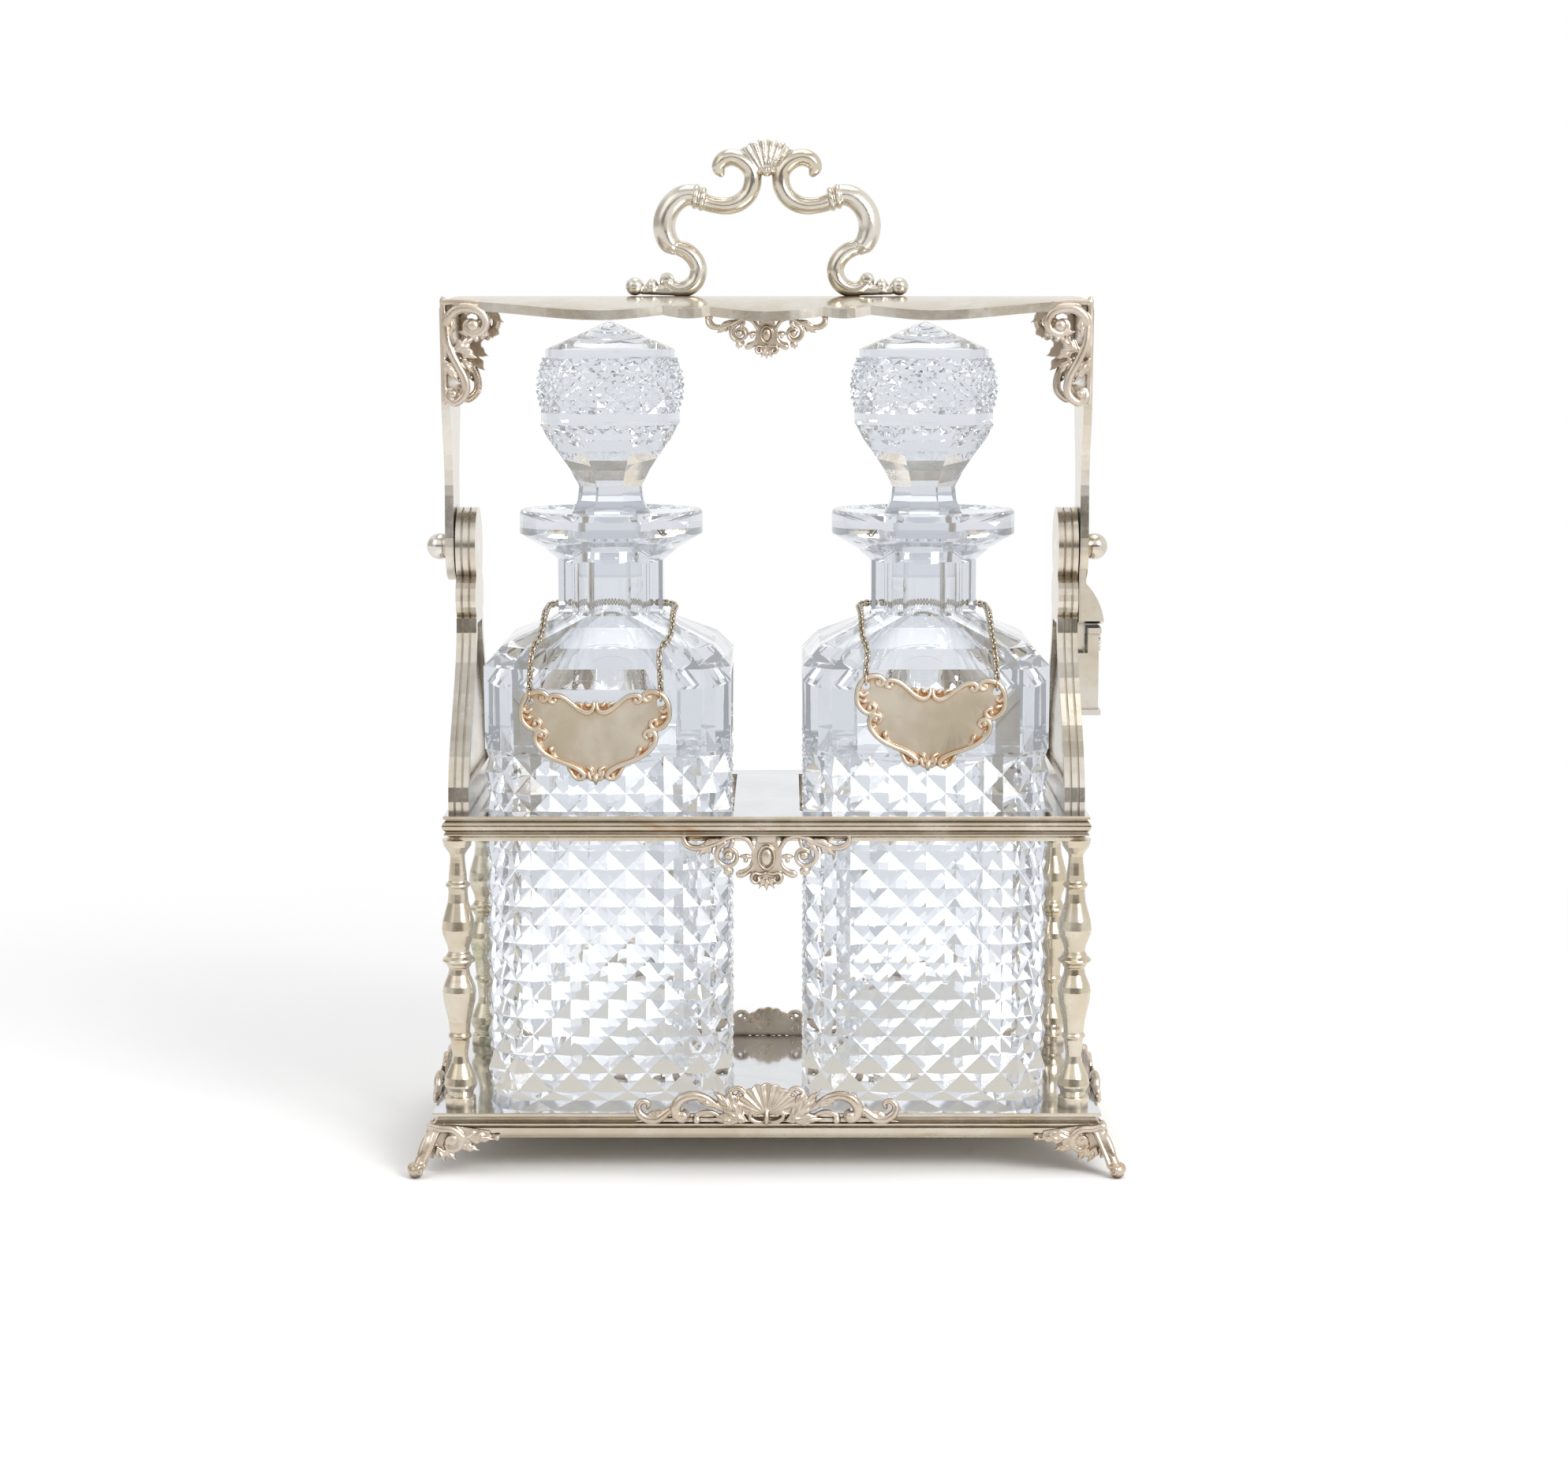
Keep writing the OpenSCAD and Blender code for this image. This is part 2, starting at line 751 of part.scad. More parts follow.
// Round profile of the bail seen from the front.
corner_r = 6;
module bail_profile(grow) {
    rotate([90, 0, 0])
        linear_extrude(90, center = true) {
            translate([grow - bail_x, -30])
                square([2 * (bail_x - grow), plate_rise + 30 - corner_r]);
            translate([corner_r - bail_x, 0])
                square([2 * (bail_x - corner_r), plate_rise + rim_h - grow]);
            for (s = [-1, 1])
                translate([s * (bail_x - corner_r), plate_rise + rim_h - corner_r])
                    circle(r = corner_r - grow);
            translate([grow - bail_x, plate_rise - corner_r - 1])
                square([2 * (bail_x - grow), rim_h + 1]);
        }
}

module crown(r, w) {
    translate([0, 0, plate_rise - crown_r])
        rotate([0, 90, 0])
            cylinder(h = w, r = r, center = true, $fn = 180);
}

// Plate and arms as one bent strip; "grow" lowers its outer faces.
module bail_strip(grow) {
    intersection() {
        union() {
            intersection() {
                translate([0, 0, plate_rise - 20])
                    linear_extrude(25)
                        plate_plan();
                difference() {
                    crown(crown_r + rim_h - grow, 2 * bail_x);
                    crown(under_r, 2 * bail_x + 2);
                }
            }
            intersection() {
                for (s = [-1, 1])
                    translate([s > 0 ? arm_x : -bail_x, 0, 0])
                        side_plate(arm_t)
                            arm_outline();
                crown(crown_r + rim_h - grow, 2 * bail_x + 2);
            }
        }
        bail_profile(grow);
    }
}

// Band along the strip's edges that stands up as a rim.
module rim_zone() {
    translate([0, 0, plate_rise - 8])
        linear_extrude(10)
            difference() {
                plate_plan();
                plate_plan(rim_w);
            }
    for (s = [-1, 1])
        translate([s > 0 ? arm_x : -bail_x, 0, 0])
            side_plate(arm_t)
                difference() {
                    arm_outline();
                    arm_outline(rim_w);
                }
}

tongue_r = 36.7;
tongue_half = 5;
hasp_r = 27.6;
hasp_half = 9.5;
tongue_t = arm_t - rim_h;

module tongue_plate() {
    translate([arm_x, 0, 0])
        side_plate(tongue_t) {
            intersection() {
                circle(r = hasp_r);
                translate([-hasp_half, -hasp_r])
                    square([2 * hasp_half, hasp_r]);
            }
            intersection() {
                circle(r = tongue_r);
                translate([-tongue_half, -tongue_r])
                    square([2 * tongue_half, tongue_r]);
            }
        }
}

module bail_frame() {
    color(silver)
        translate([0, 0, pivot_z])
            difference() {
                union() {
                    bail_strip(rim_h);
                    intersection() {
                        bail_strip(0);
                        rim_zone();
                    }
                    tongue_plate();
                }
                rotate([0, 90, 0])
                    cylinder(h = 3 * bail_x, r = pin_r + pin_clear, center = true);
                translate([arm_x - 1, 0, bolt_z - pivot_z])
                    rotate([0, 90, 0])
                        cylinder(h = arm_t + 2, r = bolt_r + 0.15);
            }
}

// Quarter-round hasp on the right arm, with its underside turned about the pivot.
hasp_high = pivot_z - arm_end_r - 0.2;
hasp_low = pivot_z - hasp_r - 1;
hasp_bulge = 6.6;
hasp_curve = 22.9;

module hasp() {
    color(silver)
        intersection() {
            translate([0, hasp_half, 0])
                rotate([90, 0, 0])
                    linear_extrude(2 * hasp_half)
                        intersection() {
                            translate([bail_x - rim_h + hasp_bulge - hasp_curve, hasp_low])
                                circle(r = hasp_curve);
                            translate([bail_x - rim_h, hasp_low])
                                square([hasp_bulge + 1, hasp_high - hasp_low]);
                        }
            translate([0, 0, pivot_z])
                rotate([0, 90, 0])
                    cylinder(h = 2 * bail_x, r = hasp_r);
        }
}

// Carrying handle: three bends a side between a shell and beaded feet.
bend_upper = [-12.1, 39.9];
bend_big = [-25.1, 24.4];
bend_lower = [-31.2, 9.4];
bend_small_r = 7.2;
// The upper bend tightens after this angle
bend_turn = 20;
bend_tip_r = 6.6;
bend_tip = bend_upper + (bend_small_r - bend_tip_r) * [cos(bend_turn), sin(bend_turn)];
bend_big_r = 10.9;
// Angles where the bends start and end
upper_start = -97;
tip_end = 128;
tip_curl = 152;
big_start = 86;
big_end = 224;
lower_start = -78;
lower_end = 96;
bar_r = 3.05;
bar_big_r = 3.6;
collar_r = 4.5;
knuckle = 0.3;
// Curl and three beads on the plate: X, Z, radius
handle_beads = [[-35, 6, 3.1], [-37.3, 2.9, 2.7], [-41.2, 3.4, 2.9], [-46.4, 3.1, 3.4]];

function on_bend(c, r, a) = [c[0] + r * cos(a), 0, c[1] + r * sin(a)];

module bend(c, r, a0, a1, bar) {
    translate([c[0], 0, c[1]])
        rotate([90, 0, 0])
            rotate([0, 0, a0])
                rotate_extrude(angle = a1 - a0)
                    translate([r, 0])
                        circle(r = bar);
}

module handle_side() {
    bend(bend_upper, bend_small_r, upper_start, bend_turn, bar_r);
    bend(bend_tip, bend_tip_r, bend_turn, tip_end, bar_r - 0.1);
    translate(on_bend(bend_tip, bend_tip_r, tip_end))
        sphere(r = bar_r + 0.4);
    translate(on_bend(bend_tip, bend_tip_r - 0.9, tip_curl))
        sphere(r = 2.2);
    translate(on_bend(bend_upper, bend_small_r, upper_start))
        sphere(r = bar_r + knuckle);
    bar(on_bend(bend_upper, bend_small_r, upper_start), on_bend(bend_big, bend_big_r, big_start),
        bar_r, bar_big_r);
    translate(on_bend(bend_big, bend_big_r, big_start))
        sphere(r = bar_big_r + knuckle);
    // Collar of two rings where the big bend starts
    for (a = [big_start - 6, big_start + 6])
        translate(on_bend(bend_big, bend_big_r, a))
            rotate([0, -a, 0])
                cylinder(h = 1.1, r = collar_r, center = true);
    bend(bend_big, bend_big_r, big_start, big_end, bar_big_r);
    translate(on_bend(bend_big, bend_big_r, big_end))
        sphere(r = bar_big_r + knuckle);
    bend(bend_lower, bend_small_r, lower_start, lower_end, bar_r);
    translate(on_bend(bend_lower, bend_small_r, lower_start))
        sphere(r = bar_r + knuckle);
    for (b = handle_beads)
        translate([b[0], 0, b[1]])
            sphere(r = b[2]);
}

// Scallop shell between the two upper bends.
handle_shell_z = 41.5;
handle_shell_r = 13;
handle_shell_t = 5;

module handle_shell() {
    translate([0, handle_shell_t / 2, handle_shell_z])
        difference() {
            stand_up(handle_shell_t)
                shell_outline(handle_shell_r, 7, 88);
            for (y = [flute_depth, -handle_shell_t])
                translate([0, y, 0])
                    stand_up(2 * flute_depth)
                        shell_lines(handle_shell_r, 7, 88);
        }
}

module handle() {
    color(silver)
        translate([0, 0, plate_z])
            difference() {
                union() {
                    for (turn = [0, 180])
                        rotate([0, 0, turn])
                            handle_side();
                    handle_shell();
                }
                translate([0, 0, -plate_rise])
                    crown(crown_r, 2 * bail_x);
            }
}

// Corner bracket of the bail: volute, stem, leaves and a lower curl.
bracket_y = 18.6;
bracket_t = 2;

module bracket_outline() {
    // X inward from the arm, Y down from the plate
    translate([0, -2.4])
        square([14, 4.4]);
    translate([0, -34])
        square([2.2, 36]);
    translate([11.4, -4.6])
        spiral(4.4, 1.8, 100, -250, 2.2, 1.3, 28);
    translate([11.4, -4.6])
        circle(r = 1.3, $fn = 24);
    translate([1, -3])
        rotate(-62)
            leaf(17, 7, 3, 2);
    translate([3, -13])
        rotate(-8)
            leaf(9.5, 6, 2, 1.2);
    translate([1.6, -12])
        rotate(-76)
            leaf(19, 6.4, 4, 1.6);
    translate([4.2, -29.6])
        spiral(4.2, 2.2, 150, 400, 2, 1.2);
    translate([5.6, -30.8])
        circle(r = 1.7, $fn = 24);
}

module bracket_at(front, left) {
    color(old_silver)
        translate([0, 0, pivot_z])
            mirror([left ? 1 : 0, 0, 0])
                mirror([0, front ? 0 : 1, 0])
                    intersection() {
                        translate([arm_x, bracket_t - bracket_y, under_r + plate_rise - crown_r - 1.4])
                            mirror([1, 0, 0])
                                stand_up(bracket_t)
                                    intersection() {
                                        bracket_outline();
                                        translate([0, -45])
                                            square(50);
                                    }
                        crown(under_r, 2 * bail_x);
                    }
}

// Cartouche under the plate's middle lobe.
bail_pendant_size = 0.72;
bail_pendant_y = 27;
bail_pendant_cut = 0.6;

module bail_pendant(turn) {
    color(old_silver)
        translate([0, 0, pivot_z])
            rotate([0, 0, turn])
                intersection() {
                    translate([0, 1.15 - bail_pendant_y, plate_rise - 6])
                        pendant(bail_pendant_cut, bail_pendant_size);
                    crown(under_r, 2 * bail_x);
                }
}

// Point of a canted square, counted round it from the left end of its front side.
// Each side has "cells" steps on the flat and two on the cant; "deep" sinks the point.
function square_point(m, half, cant, cells, deep) =
    let (side = floor(m / (cells + 2)), k = m % (cells + 2), flat = half - cant,
        p = k <= cells ? [2 * flat * k / cells - flat, -half] : [half - cant / 2, cant / 2 - half],
        lean = k == 0 ? -22.5 : k == cells ? 22.5 : k > cells ? 45 : 0,
        sink = k == 0 || k == cells ? deep / cos(22.5) : deep,
        q = p + sink * [-sin(lean), cos(lean)],
        c = [1, 0, -1, 0][side], s = [0, 1, 0, -1][side])
    [c * q[0] - s * q[1], s * q[0] + c * q[1]];

// Closed skin over rings of equally many points, split so that grooves run straight.
module skin(rings) {
    n = len(rings[0]);
    top = len(rings) - 1;
    low = n * (top + 1);
    polyhedron(
        points = concat(
            [for (r = rings) for (p = r) p],
            [[0, 0, rings[0][0][2]], [0, 0, rings[top][0][2]]]),
        faces = concat(
            [for (k = [0 : top - 1], m = [0 : n - 1])
                let (m2 = (m + 1) % n, a = k * n + m, b = k * n + m2, c = b + n, d = a + n)
                each ((m + k) % 2 == 0 ? [[a, d, b], [b, d, c]] : [[a, d, c], [a, c, b]])],
            [for (m = [0 : n - 1]) [low, m, (m + 1) % n]],
            [for (m = [0 : n - 1]) [low + 1, top * n + (m + 1) % n, top * n + m]]));
}

// Decanter, drawn on its own axis.
half_cells = 2 * diamonds_x;
ring_points = 4 * (half_cells + 2);
rows = 2 * diamonds_z;
diamond_z = tray_top + 3.5;
band_z = diamond_z + diamond_h + 1.5;
wall_top = band_z + 29;
neck_z = wall_top + 16;
neck_flat = 18.5;
lip_z = neck_z + 18;
seat_z = lip_z + 15;
cavity_half = 33;
cavity_cant = 9;
cavity_z = tray_top + 12;
cavity_top = wall_top - 8;
panel_in = 0.9;

function decanter_ring(z, half, cant, row) =
    [for (m = [0 : ring_points - 1])
        let (deep = row < 0 ? 0 : (m + row) % 2 * groove, q = square_point(m, half, cant, half_cells, deep))
        [q[0], q[1], z]];

module diamond_body() {
    skin(concat(
        [decanter_ring(tray_top, face_y - 2.6, bottle_cant - 1, -1)],
        [for (k = [0 : rows])
            decanter_ring(diamond_z + diamond_h * k / rows, face_y, bottle_cant, k + 1)],
        [decanter_ring(band_z, face_y - 0.2, bottle_cant, -1)]));
}

// Points of a plain canted square, as corners only.
function square_corners(z, half, cant) =
    [for (side = [0 : 3], k = [0, 1])
        let (p = k == 0 ? [cant - half, -half] : [half - cant, -half],
            c = [1, 0, -1, 0][side], s = [0, 1, 0, -1][side])
        [c * p[0] - s * p[1], s * p[0] + c * p[1], z]];

module decanter_shoulder() {
    oct = neck_flat * (1 - tan(22.5));
    skin([
        square_corners(band_z, face_y - 0.2, bottle_cant),
        square_corners(wall_top, face_y, bottle_cant),
        square_corners(wall_top + 6.5, face_y - 6, bottle_cant - 1),
        square_corners(wall_top + 12.5, face_y - 19, bottle_cant - 1),
        square_corners(neck_z, neck_flat, oct),
        square_corners(lip_z + 1, neck_flat, oct)]);
}

module decanter_lip() {
    r = lip_d / 2;
    rotate_extrude()
        polygon([[0, lip_z], [neck_flat - 0.2, lip_z], [24, lip_z + 5], [r - 2.5, lip_z + 8.6],
            [r, lip_z + 10.2], [r, lip_z + 17.8], [r - 0.7, lip_z + 18.5], [r - 3.5, lip_z + 18.5],
            [17, seat_z], [0, seat_z]]);
}

module decanter_glass() {
    difference() {
        union() {
            diamond_body();
            decanter_shoulder();
            decanter_lip();
        }
        translate([0, 0, cavity_z])
            linear_extrude(cavity_top - cavity_z)
                polygon([for (p = square_corners(0, cavity_half, cavity_cant)) [p[0], p[1]]]);
        translate([0, 0, cavity_top - 0.01])
            cylinder(h = neck_z - cavity_top, r1 = cavity_half - 1, r2 = bore_r);
        translate([0, 0, neck_z - 1])
            cylinder(h = seat_z - neck_z + 2, r = bore_r);
        // Polished panel on each side, sunk into the plain band
        for (a = [0 : 90 : 270])
            rotate([0, 0, a])
                translate([0, panel_in - face_y, band_z])
                    rotate([90, 0, 0])
                        linear_extrude(2)
                            polygon(concat(
                                [[-22, 1], [22, 1]],
                                arc([17, 21], 4, 0, 90, 4),
                                arc([-17, 21], 4, 90, 180, 4)));
    }
}

module decanter_at(left) {
    color(crystal)
        translate([(left ? -1 : 1) * bottle_x, 0, 0])
            decanter_glass();
}

// Stopper: ground plug, faceted stem, diamond ball and conical top.
stem_keys = [[0, 15], [3.2, 13], [6.8, 11.6], [11.8, 11], [17.8, 14], [23.8, 18], [28.8, 21.6], [33.8, 24.2]];
ball_low = 37.8;
ball_high = 57;
ball_rows = 8;
ball_groove = 1.5;
ball_r0 = 23;
ball_swell = 3.4;
ball_points = 2 * stopper_diamonds;
plug_len = 20;
cone_z = 60;
cone_h = 10;
cone_r = 22.9;

function ball_radius(t) = ball_r0 + ball_swell * sin(30 + 130 * t);

module stopper_glass() {
    translate([0, 0, seat_z]) {
        translate([0, 0, -plug_len])
            cylinder(h = plug_len + 1, r = bore_r - plug_clear);
        skin([for (k = stem_keys)
            let (r = k[1] / cos(22.5))
            [for (i = [0 : 7]) [r * cos(45 * i + 22.5), r * sin(45 * i + 22.5), k[0]]]]);
        translate([0, 0, stem_keys[7][0]])
            cylinder(h = ball_low - stem_keys[7][0], r = 24.6);
        skin([for (k = [0 : ball_rows])
            let (t = k / ball_rows, r = ball_radius(t))
            [for (i = [0 : ball_points - 1])
                let (a = 360 * i / ball_points, q = r - (i + k) % 2 * ball_groove)
                [q * cos(a), q * sin(a), ball_low + (ball_high - ball_low) * t]]]);
        translate([0, 0, ball_high])
            cylinder(h = cone_z - ball_high, r = cone_r);
        translate([0, 0, cone_z])
            cylinder(h = cone_h, r1 = cone_r, r2 = 0);
    }
}

module stopper_at(left) {
    color(crystal)
        translate([(left ? -1 : 1) * bottle_x, 0, 0])
            stopper_glass();
}

// Places of the border's scrolls on a label's right half.
label_scrolls = [[14, 12.2], [24, 7.2], [21, -1.4], [15.5, -7], [8.6, -11], [3.4, -13.6]];

// Labels hang by two rings: [shift from the bottle's axis, height of the middle, tilt].
label_places = [[3.5, 150.3, 0], [0.7, 155, -2.4]];
label_y = face_y + 2.6;
label_t = 1.2;
label_hole = [22.6, 13.2];
label_hole_r = 1.5;
label_rim_t = 0.4;
hang_ring_r = 1.75;
hang_ring_wire = 0.8;
hang_drop = 2.3;
hook_gap = 1.05;

// Right half of a label's edge, from the dip at its top round to its lowest point.
label_edge = [
    [0, 9.6], [1.2, 10.4], [2.4, 8.2], [6.3, 8.9], [11, 11.6], [14.5, 14.6], [19.7, 16.4],
    [23.6, 15.1], [26, 11.4], [26.5, 7.6], [23, 4.4], [22.6, 0], [20.4, -4], [14.5, -8.9],
    [9, -12], [5.6, -15.6], [2.4, -15], [0, -16.8]];

module label_outline(size = 1) {
    k = [label_w / 53, label_h / 33.5] * size;
    polygon(concat(
        [for (p = label_edge) [p[0] * k[0], p[1] * k[1]]],
        reversed([for (p = label_edge) [-p[0] * k[0], p[1] * k[1]]])));
}

function hole_at(place, s) =
    let (h = [s * label_hole[0] * label_w / 53, label_hole[1] * label_h / 33.5], a = place[2])
    [h[0] * cos(a) - h[1] * sin(a), -label_y, place[1] + h[0] * sin(a) + h[1] * cos(a)];

function shift_of(left) = left ? -label_places[0][0] : label_places[1][0];

module label_at(left) {
    place = label_places[left ? 0 : 1];
    color(old_silver)
        translate([(left ? -1 : 1) * bottle_x + shift_of(left), label_t / 2 - label_y, place[1]])
            rotate([0, -place[2], 0])
                difference() {
                    union() {
                        stand_up(label_t)
                            label_outline();
                        stand_up(label_t + label_rim_t)
                            difference() {
                                label_outline();
                                label_outline(0.88);
                            }
                        // Scrolls along the border
                        both_sides()
                            for (p = label_scrolls)
                                translate([p[0], -label_t, p[1]])
                                    rotate([90, 0, 0])
                                        cylinder(h = 0.9, r = 1.5);
                    }
                    both_sides()
                        translate([label_hole[0] * label_w / 53, 0, label_hole[1] * label_h / 33.5])
                            rotate([90, 0, 0])
                                cylinder(h = 8, r = label_hole_r, center = true);
                }
}

// Ring link lying in the XY plane.
link_r = (link_inner + wire_d) / 2;
module link() {
    rotate_extrude()
        translate([link_r, 0])
            circle(r = wire_d / 2, $fn = 16);
}

// Chain route as [x, y, z, normal x, normal y, normal z], from one ring round the neck.
chain_loop_r = neck_flat / cos(22.5) + 3;
chain_loop_z = neck_z + 1.8;
function chain_side(hole, s, shift) =
    let (z = hole[2] + hang_drop + hang_ring_r - hook_gap + link_r) [
    [hole[0] + shift, hole[1], z, 0, -1, 0],
    [hole[0] + shift - s * 0.2, hole[1] + 0.2, max(wall_top - 1, z + 2), 0, -1, 0],
    [hole[0] + shift - s * 0.8, hole[1] + 1.4, wall_top + 7, 0, -0.8, 0.6],
    [s * 22.6, -34, wall_top + 10.6, s * 0.1, -0.5, 0.86],
    [s * 22.4, -22, chain_loop_z - 0.8, s * 0.2, -0.3, 0.93]];
function chain_controls(place, shift) = concat(
    chain_side(hole_at(place, -1), -1, shift),
    [for (a = [190 : -20 : -10])
        [chain_loop_r * cos(a), chain_loop_r * sin(a), chain_loop_z, 0.8 * cos(a), 0.8 * sin(a), 0.6]],
    reversed(chain_side(hole_at(place, 1), 1, shift)));

// Smooth run through the middles of a control line.
function smooth_run(c, n = 6) = concat(
    [for (i = [1 : len(c) - 2], j = [0 : n - 1])
        let (t = j / n, a = i == 1 ? c[0] : (c[i - 1] + c[i]) / 2,
            d = i == len(c) - 2 ? c[i + 1] : (c[i] + c[i + 1]) / 2)
        a * (1 - t) * (1 - t) + c[i] * 2 * t * (1 - t) + d * t * t],
    [c[len(c) - 1]]);

function xyz(p) = [p[0], p[1], p[2]];
function step_length(run, i) = i < len(run) - 1 ? norm(xyz(run[i + 1]) - xyz(run[i])) : 0;
function distances(run) =
    [for (i = 0, s = 0; i < len(run); s = s + step_length(run, i), i = i + 1) s];
function step_at(along, s, i = 0) = i >= len(along) - 2 || along[i + 1] >= s ? i : step_at(along, s, i + 1);
function run_at(run, along, s) =
    let (i = step_at(along, s), t = (s - along[i]) / (along[i + 1] - along[i]))
    concat(run[i] * (1 - t) + run[i + 1] * t, (xyz(run[i + 1]) - xyz(run[i])) / (along[i + 1] - along[i]));

link_pitch = link_inner - 0.08;

module chain(place, shift) {
    run = smooth_run(chain_controls(place, shift));
    along = distances(run);
    count = ceil(along[len(along) - 1] / link_pitch);
    pitch = along[len(along) - 1] / count;
    for (i = [0 : count]) {
        q = run_at(run, along, min(i * pitch, along[len(along) - 1] - 0.001));
        x = [q[6], q[7], q[8]];
        y = cross([q[3], q[4], q[5]], x) / norm(cross([q[3], q[4], q[5]], x));
        z = cross(x, y);
        multmatrix([
            [x[0], y[0], z[0], q[0]],
            [x[1], y[1], z[1], q[1]],
            [x[2], y[2], z[2], q[2]],
            [0, 0, 0, 1]])
            rotate([i % 2 == 0 ? 45 : -45, 0, 0])
                link();
    }
}

// Rings through a label's holes, hooked into the chain's last links.
module label_rings_at(left) {
    place = label_places[left ? 0 : 1];
    color(silver)
        for (s = [-1, 1])
            translate(hole_at(place, s) + [(left ? -1 : 1) * bottle_x + shift_of(left), 0, hang_drop])
                rotate([0, 90, 0])
                    rotate_extrude()
                        translate([hang_ring_r, 0])
                            circle(r = hang_ring_wire / 2, $fn = 16);
}

module chain_at(left) {
    color(silver)
        translate([(left ? -1 : 1) * bottle_x, 0, 0])
            chain(label_places[left ? 0 : 1], shift_of(left));
}

base_tray();
base_plate();
foot_at(true, true);  // foot_front_left
foot_at(true, false);  // foot_front_right
foot_at(false, true);  // foot_rear_left
foot_at(false, false);  // foot_rear_right
tray_mount_at(0);  // tray_mount_front
tray_mount_at(1);  // tray_mount_rear
tray_mount_at(2);  // tray_mount_left
tray_mount_at(3);  // tray_mount_right
baluster_at(true, true);  // baluster_front_left
baluster_at(true, false);  // baluster_front_right
baluster_at(false, true);  // baluster_rear_left
baluster_at(false, false);  // baluster_rear_right
baluster_nuts();
gallery_frame();
gallery_screws();
gallery_pendant(0);  // gallery_pendant_front
gallery_pendant(180);  // gallery_pendant_rear
upright_at(true);  // upright_left
upright_at(false);  // upright_right
pivot_screw(true);  // pivot_screw_left
pivot_screw(false);  // pivot_screw_right
lock_case();
lock_escutcheon();
lock_plug();
lock_bolt();
bail_frame();
handle();
hasp();
bracket_at(true, true);  // bracket_front_left
bracket_at(true, false);  // bracket_front_right
bracket_at(false, true);  // bracket_rear_left
bracket_at(false, false);  // bracket_rear_right
bail_pendant(0);  // bail_pendant_front
bail_pendant(180);  // bail_pendant_rear
decanter_at(true);  // decanter_left
decanter_at(false);  // decanter_right
stopper_at(true);  // stopper_left
stopper_at(false);  // stopper_right
chain_at(true);  // chain_left
chain_at(false);  // chain_right
label_at(true);  // label_left
label_at(false);  // label_right
label_rings_at(true);  // label_rings_left
label_rings_at(false);  // label_rings_right
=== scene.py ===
import math

import bmesh
import bpy
from mathutils import Matrix, Vector


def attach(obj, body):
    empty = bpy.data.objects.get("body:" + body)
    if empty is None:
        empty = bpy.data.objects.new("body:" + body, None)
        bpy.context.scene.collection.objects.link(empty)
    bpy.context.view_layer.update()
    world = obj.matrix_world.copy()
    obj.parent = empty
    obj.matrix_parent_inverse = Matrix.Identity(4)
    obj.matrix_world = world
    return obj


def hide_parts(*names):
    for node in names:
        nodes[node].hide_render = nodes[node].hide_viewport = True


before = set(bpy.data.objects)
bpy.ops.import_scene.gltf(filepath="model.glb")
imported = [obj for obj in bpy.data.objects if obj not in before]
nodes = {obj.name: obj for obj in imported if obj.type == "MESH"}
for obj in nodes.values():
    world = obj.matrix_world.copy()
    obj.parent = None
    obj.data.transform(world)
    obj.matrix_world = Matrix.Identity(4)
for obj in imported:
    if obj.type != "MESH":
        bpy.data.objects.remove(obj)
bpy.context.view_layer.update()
MM = 0.001

# Sizes of the solids, in millimetres
TRAY_W, TRAY_D, TRAY_TOP = 232, 116, 21.5
GALLERY_Z, GALLERY_D = 116, 109
PIVOT_Z, PLATE_RISE, CROWN_R = 213.7, 88.3, 90
PLATE_Z = PIVOT_Z + PLATE_RISE
ARM_X = 110.5
BOTTLE_X = 55.5
BOTTLE_WALL_TOP, NECK_Z, NECK_FLAT = 174.5, 190.5, 18.5


# Shapes. They are drawn in millimetres, lying flat: u across, v up, w towards the viewer

def turns(n):
    """Angles of n equal steps round a circle."""
    return [2 * math.pi * i / n for i in range(n)]


def smooth(points, n=8):
    """Curve through the points, which may hold a radius too."""
    out = []
    for i in range(len(points) - 1):
        p0 = points[max(i - 1, 0)]
        p1, p2 = points[i], points[i + 1]
        p3 = points[min(i + 2, len(points) - 1)]
        for j in range(n):
            t = j / n
            out.append(tuple(
                0.5 * (2 * b + (c - a) * t + (2 * a - 5 * b + 4 * c - d) * t * t + (3 * b - a - 3 * c + d) * t ** 3)
                for a, b, c, d in zip(p0, p1, p2, p3)))
    out.append(points[-1])
    return out


def arc(c, r0, r1, a0, a1, w0, w1, n=26):
    """Spiral points (u, v, radius of the strand), from radius r0 at a0 degrees to r1 at a1."""
    out = []
    for i in range(n + 1):
        t = i / n
        a = math.radians(a0 + (a1 - a0) * t)
        r = r0 + (r1 - r0) * t
        out.append((c[0] + r * math.cos(a), c[1] + r * math.sin(a), w0 + (w1 - w0) * t))
    return out


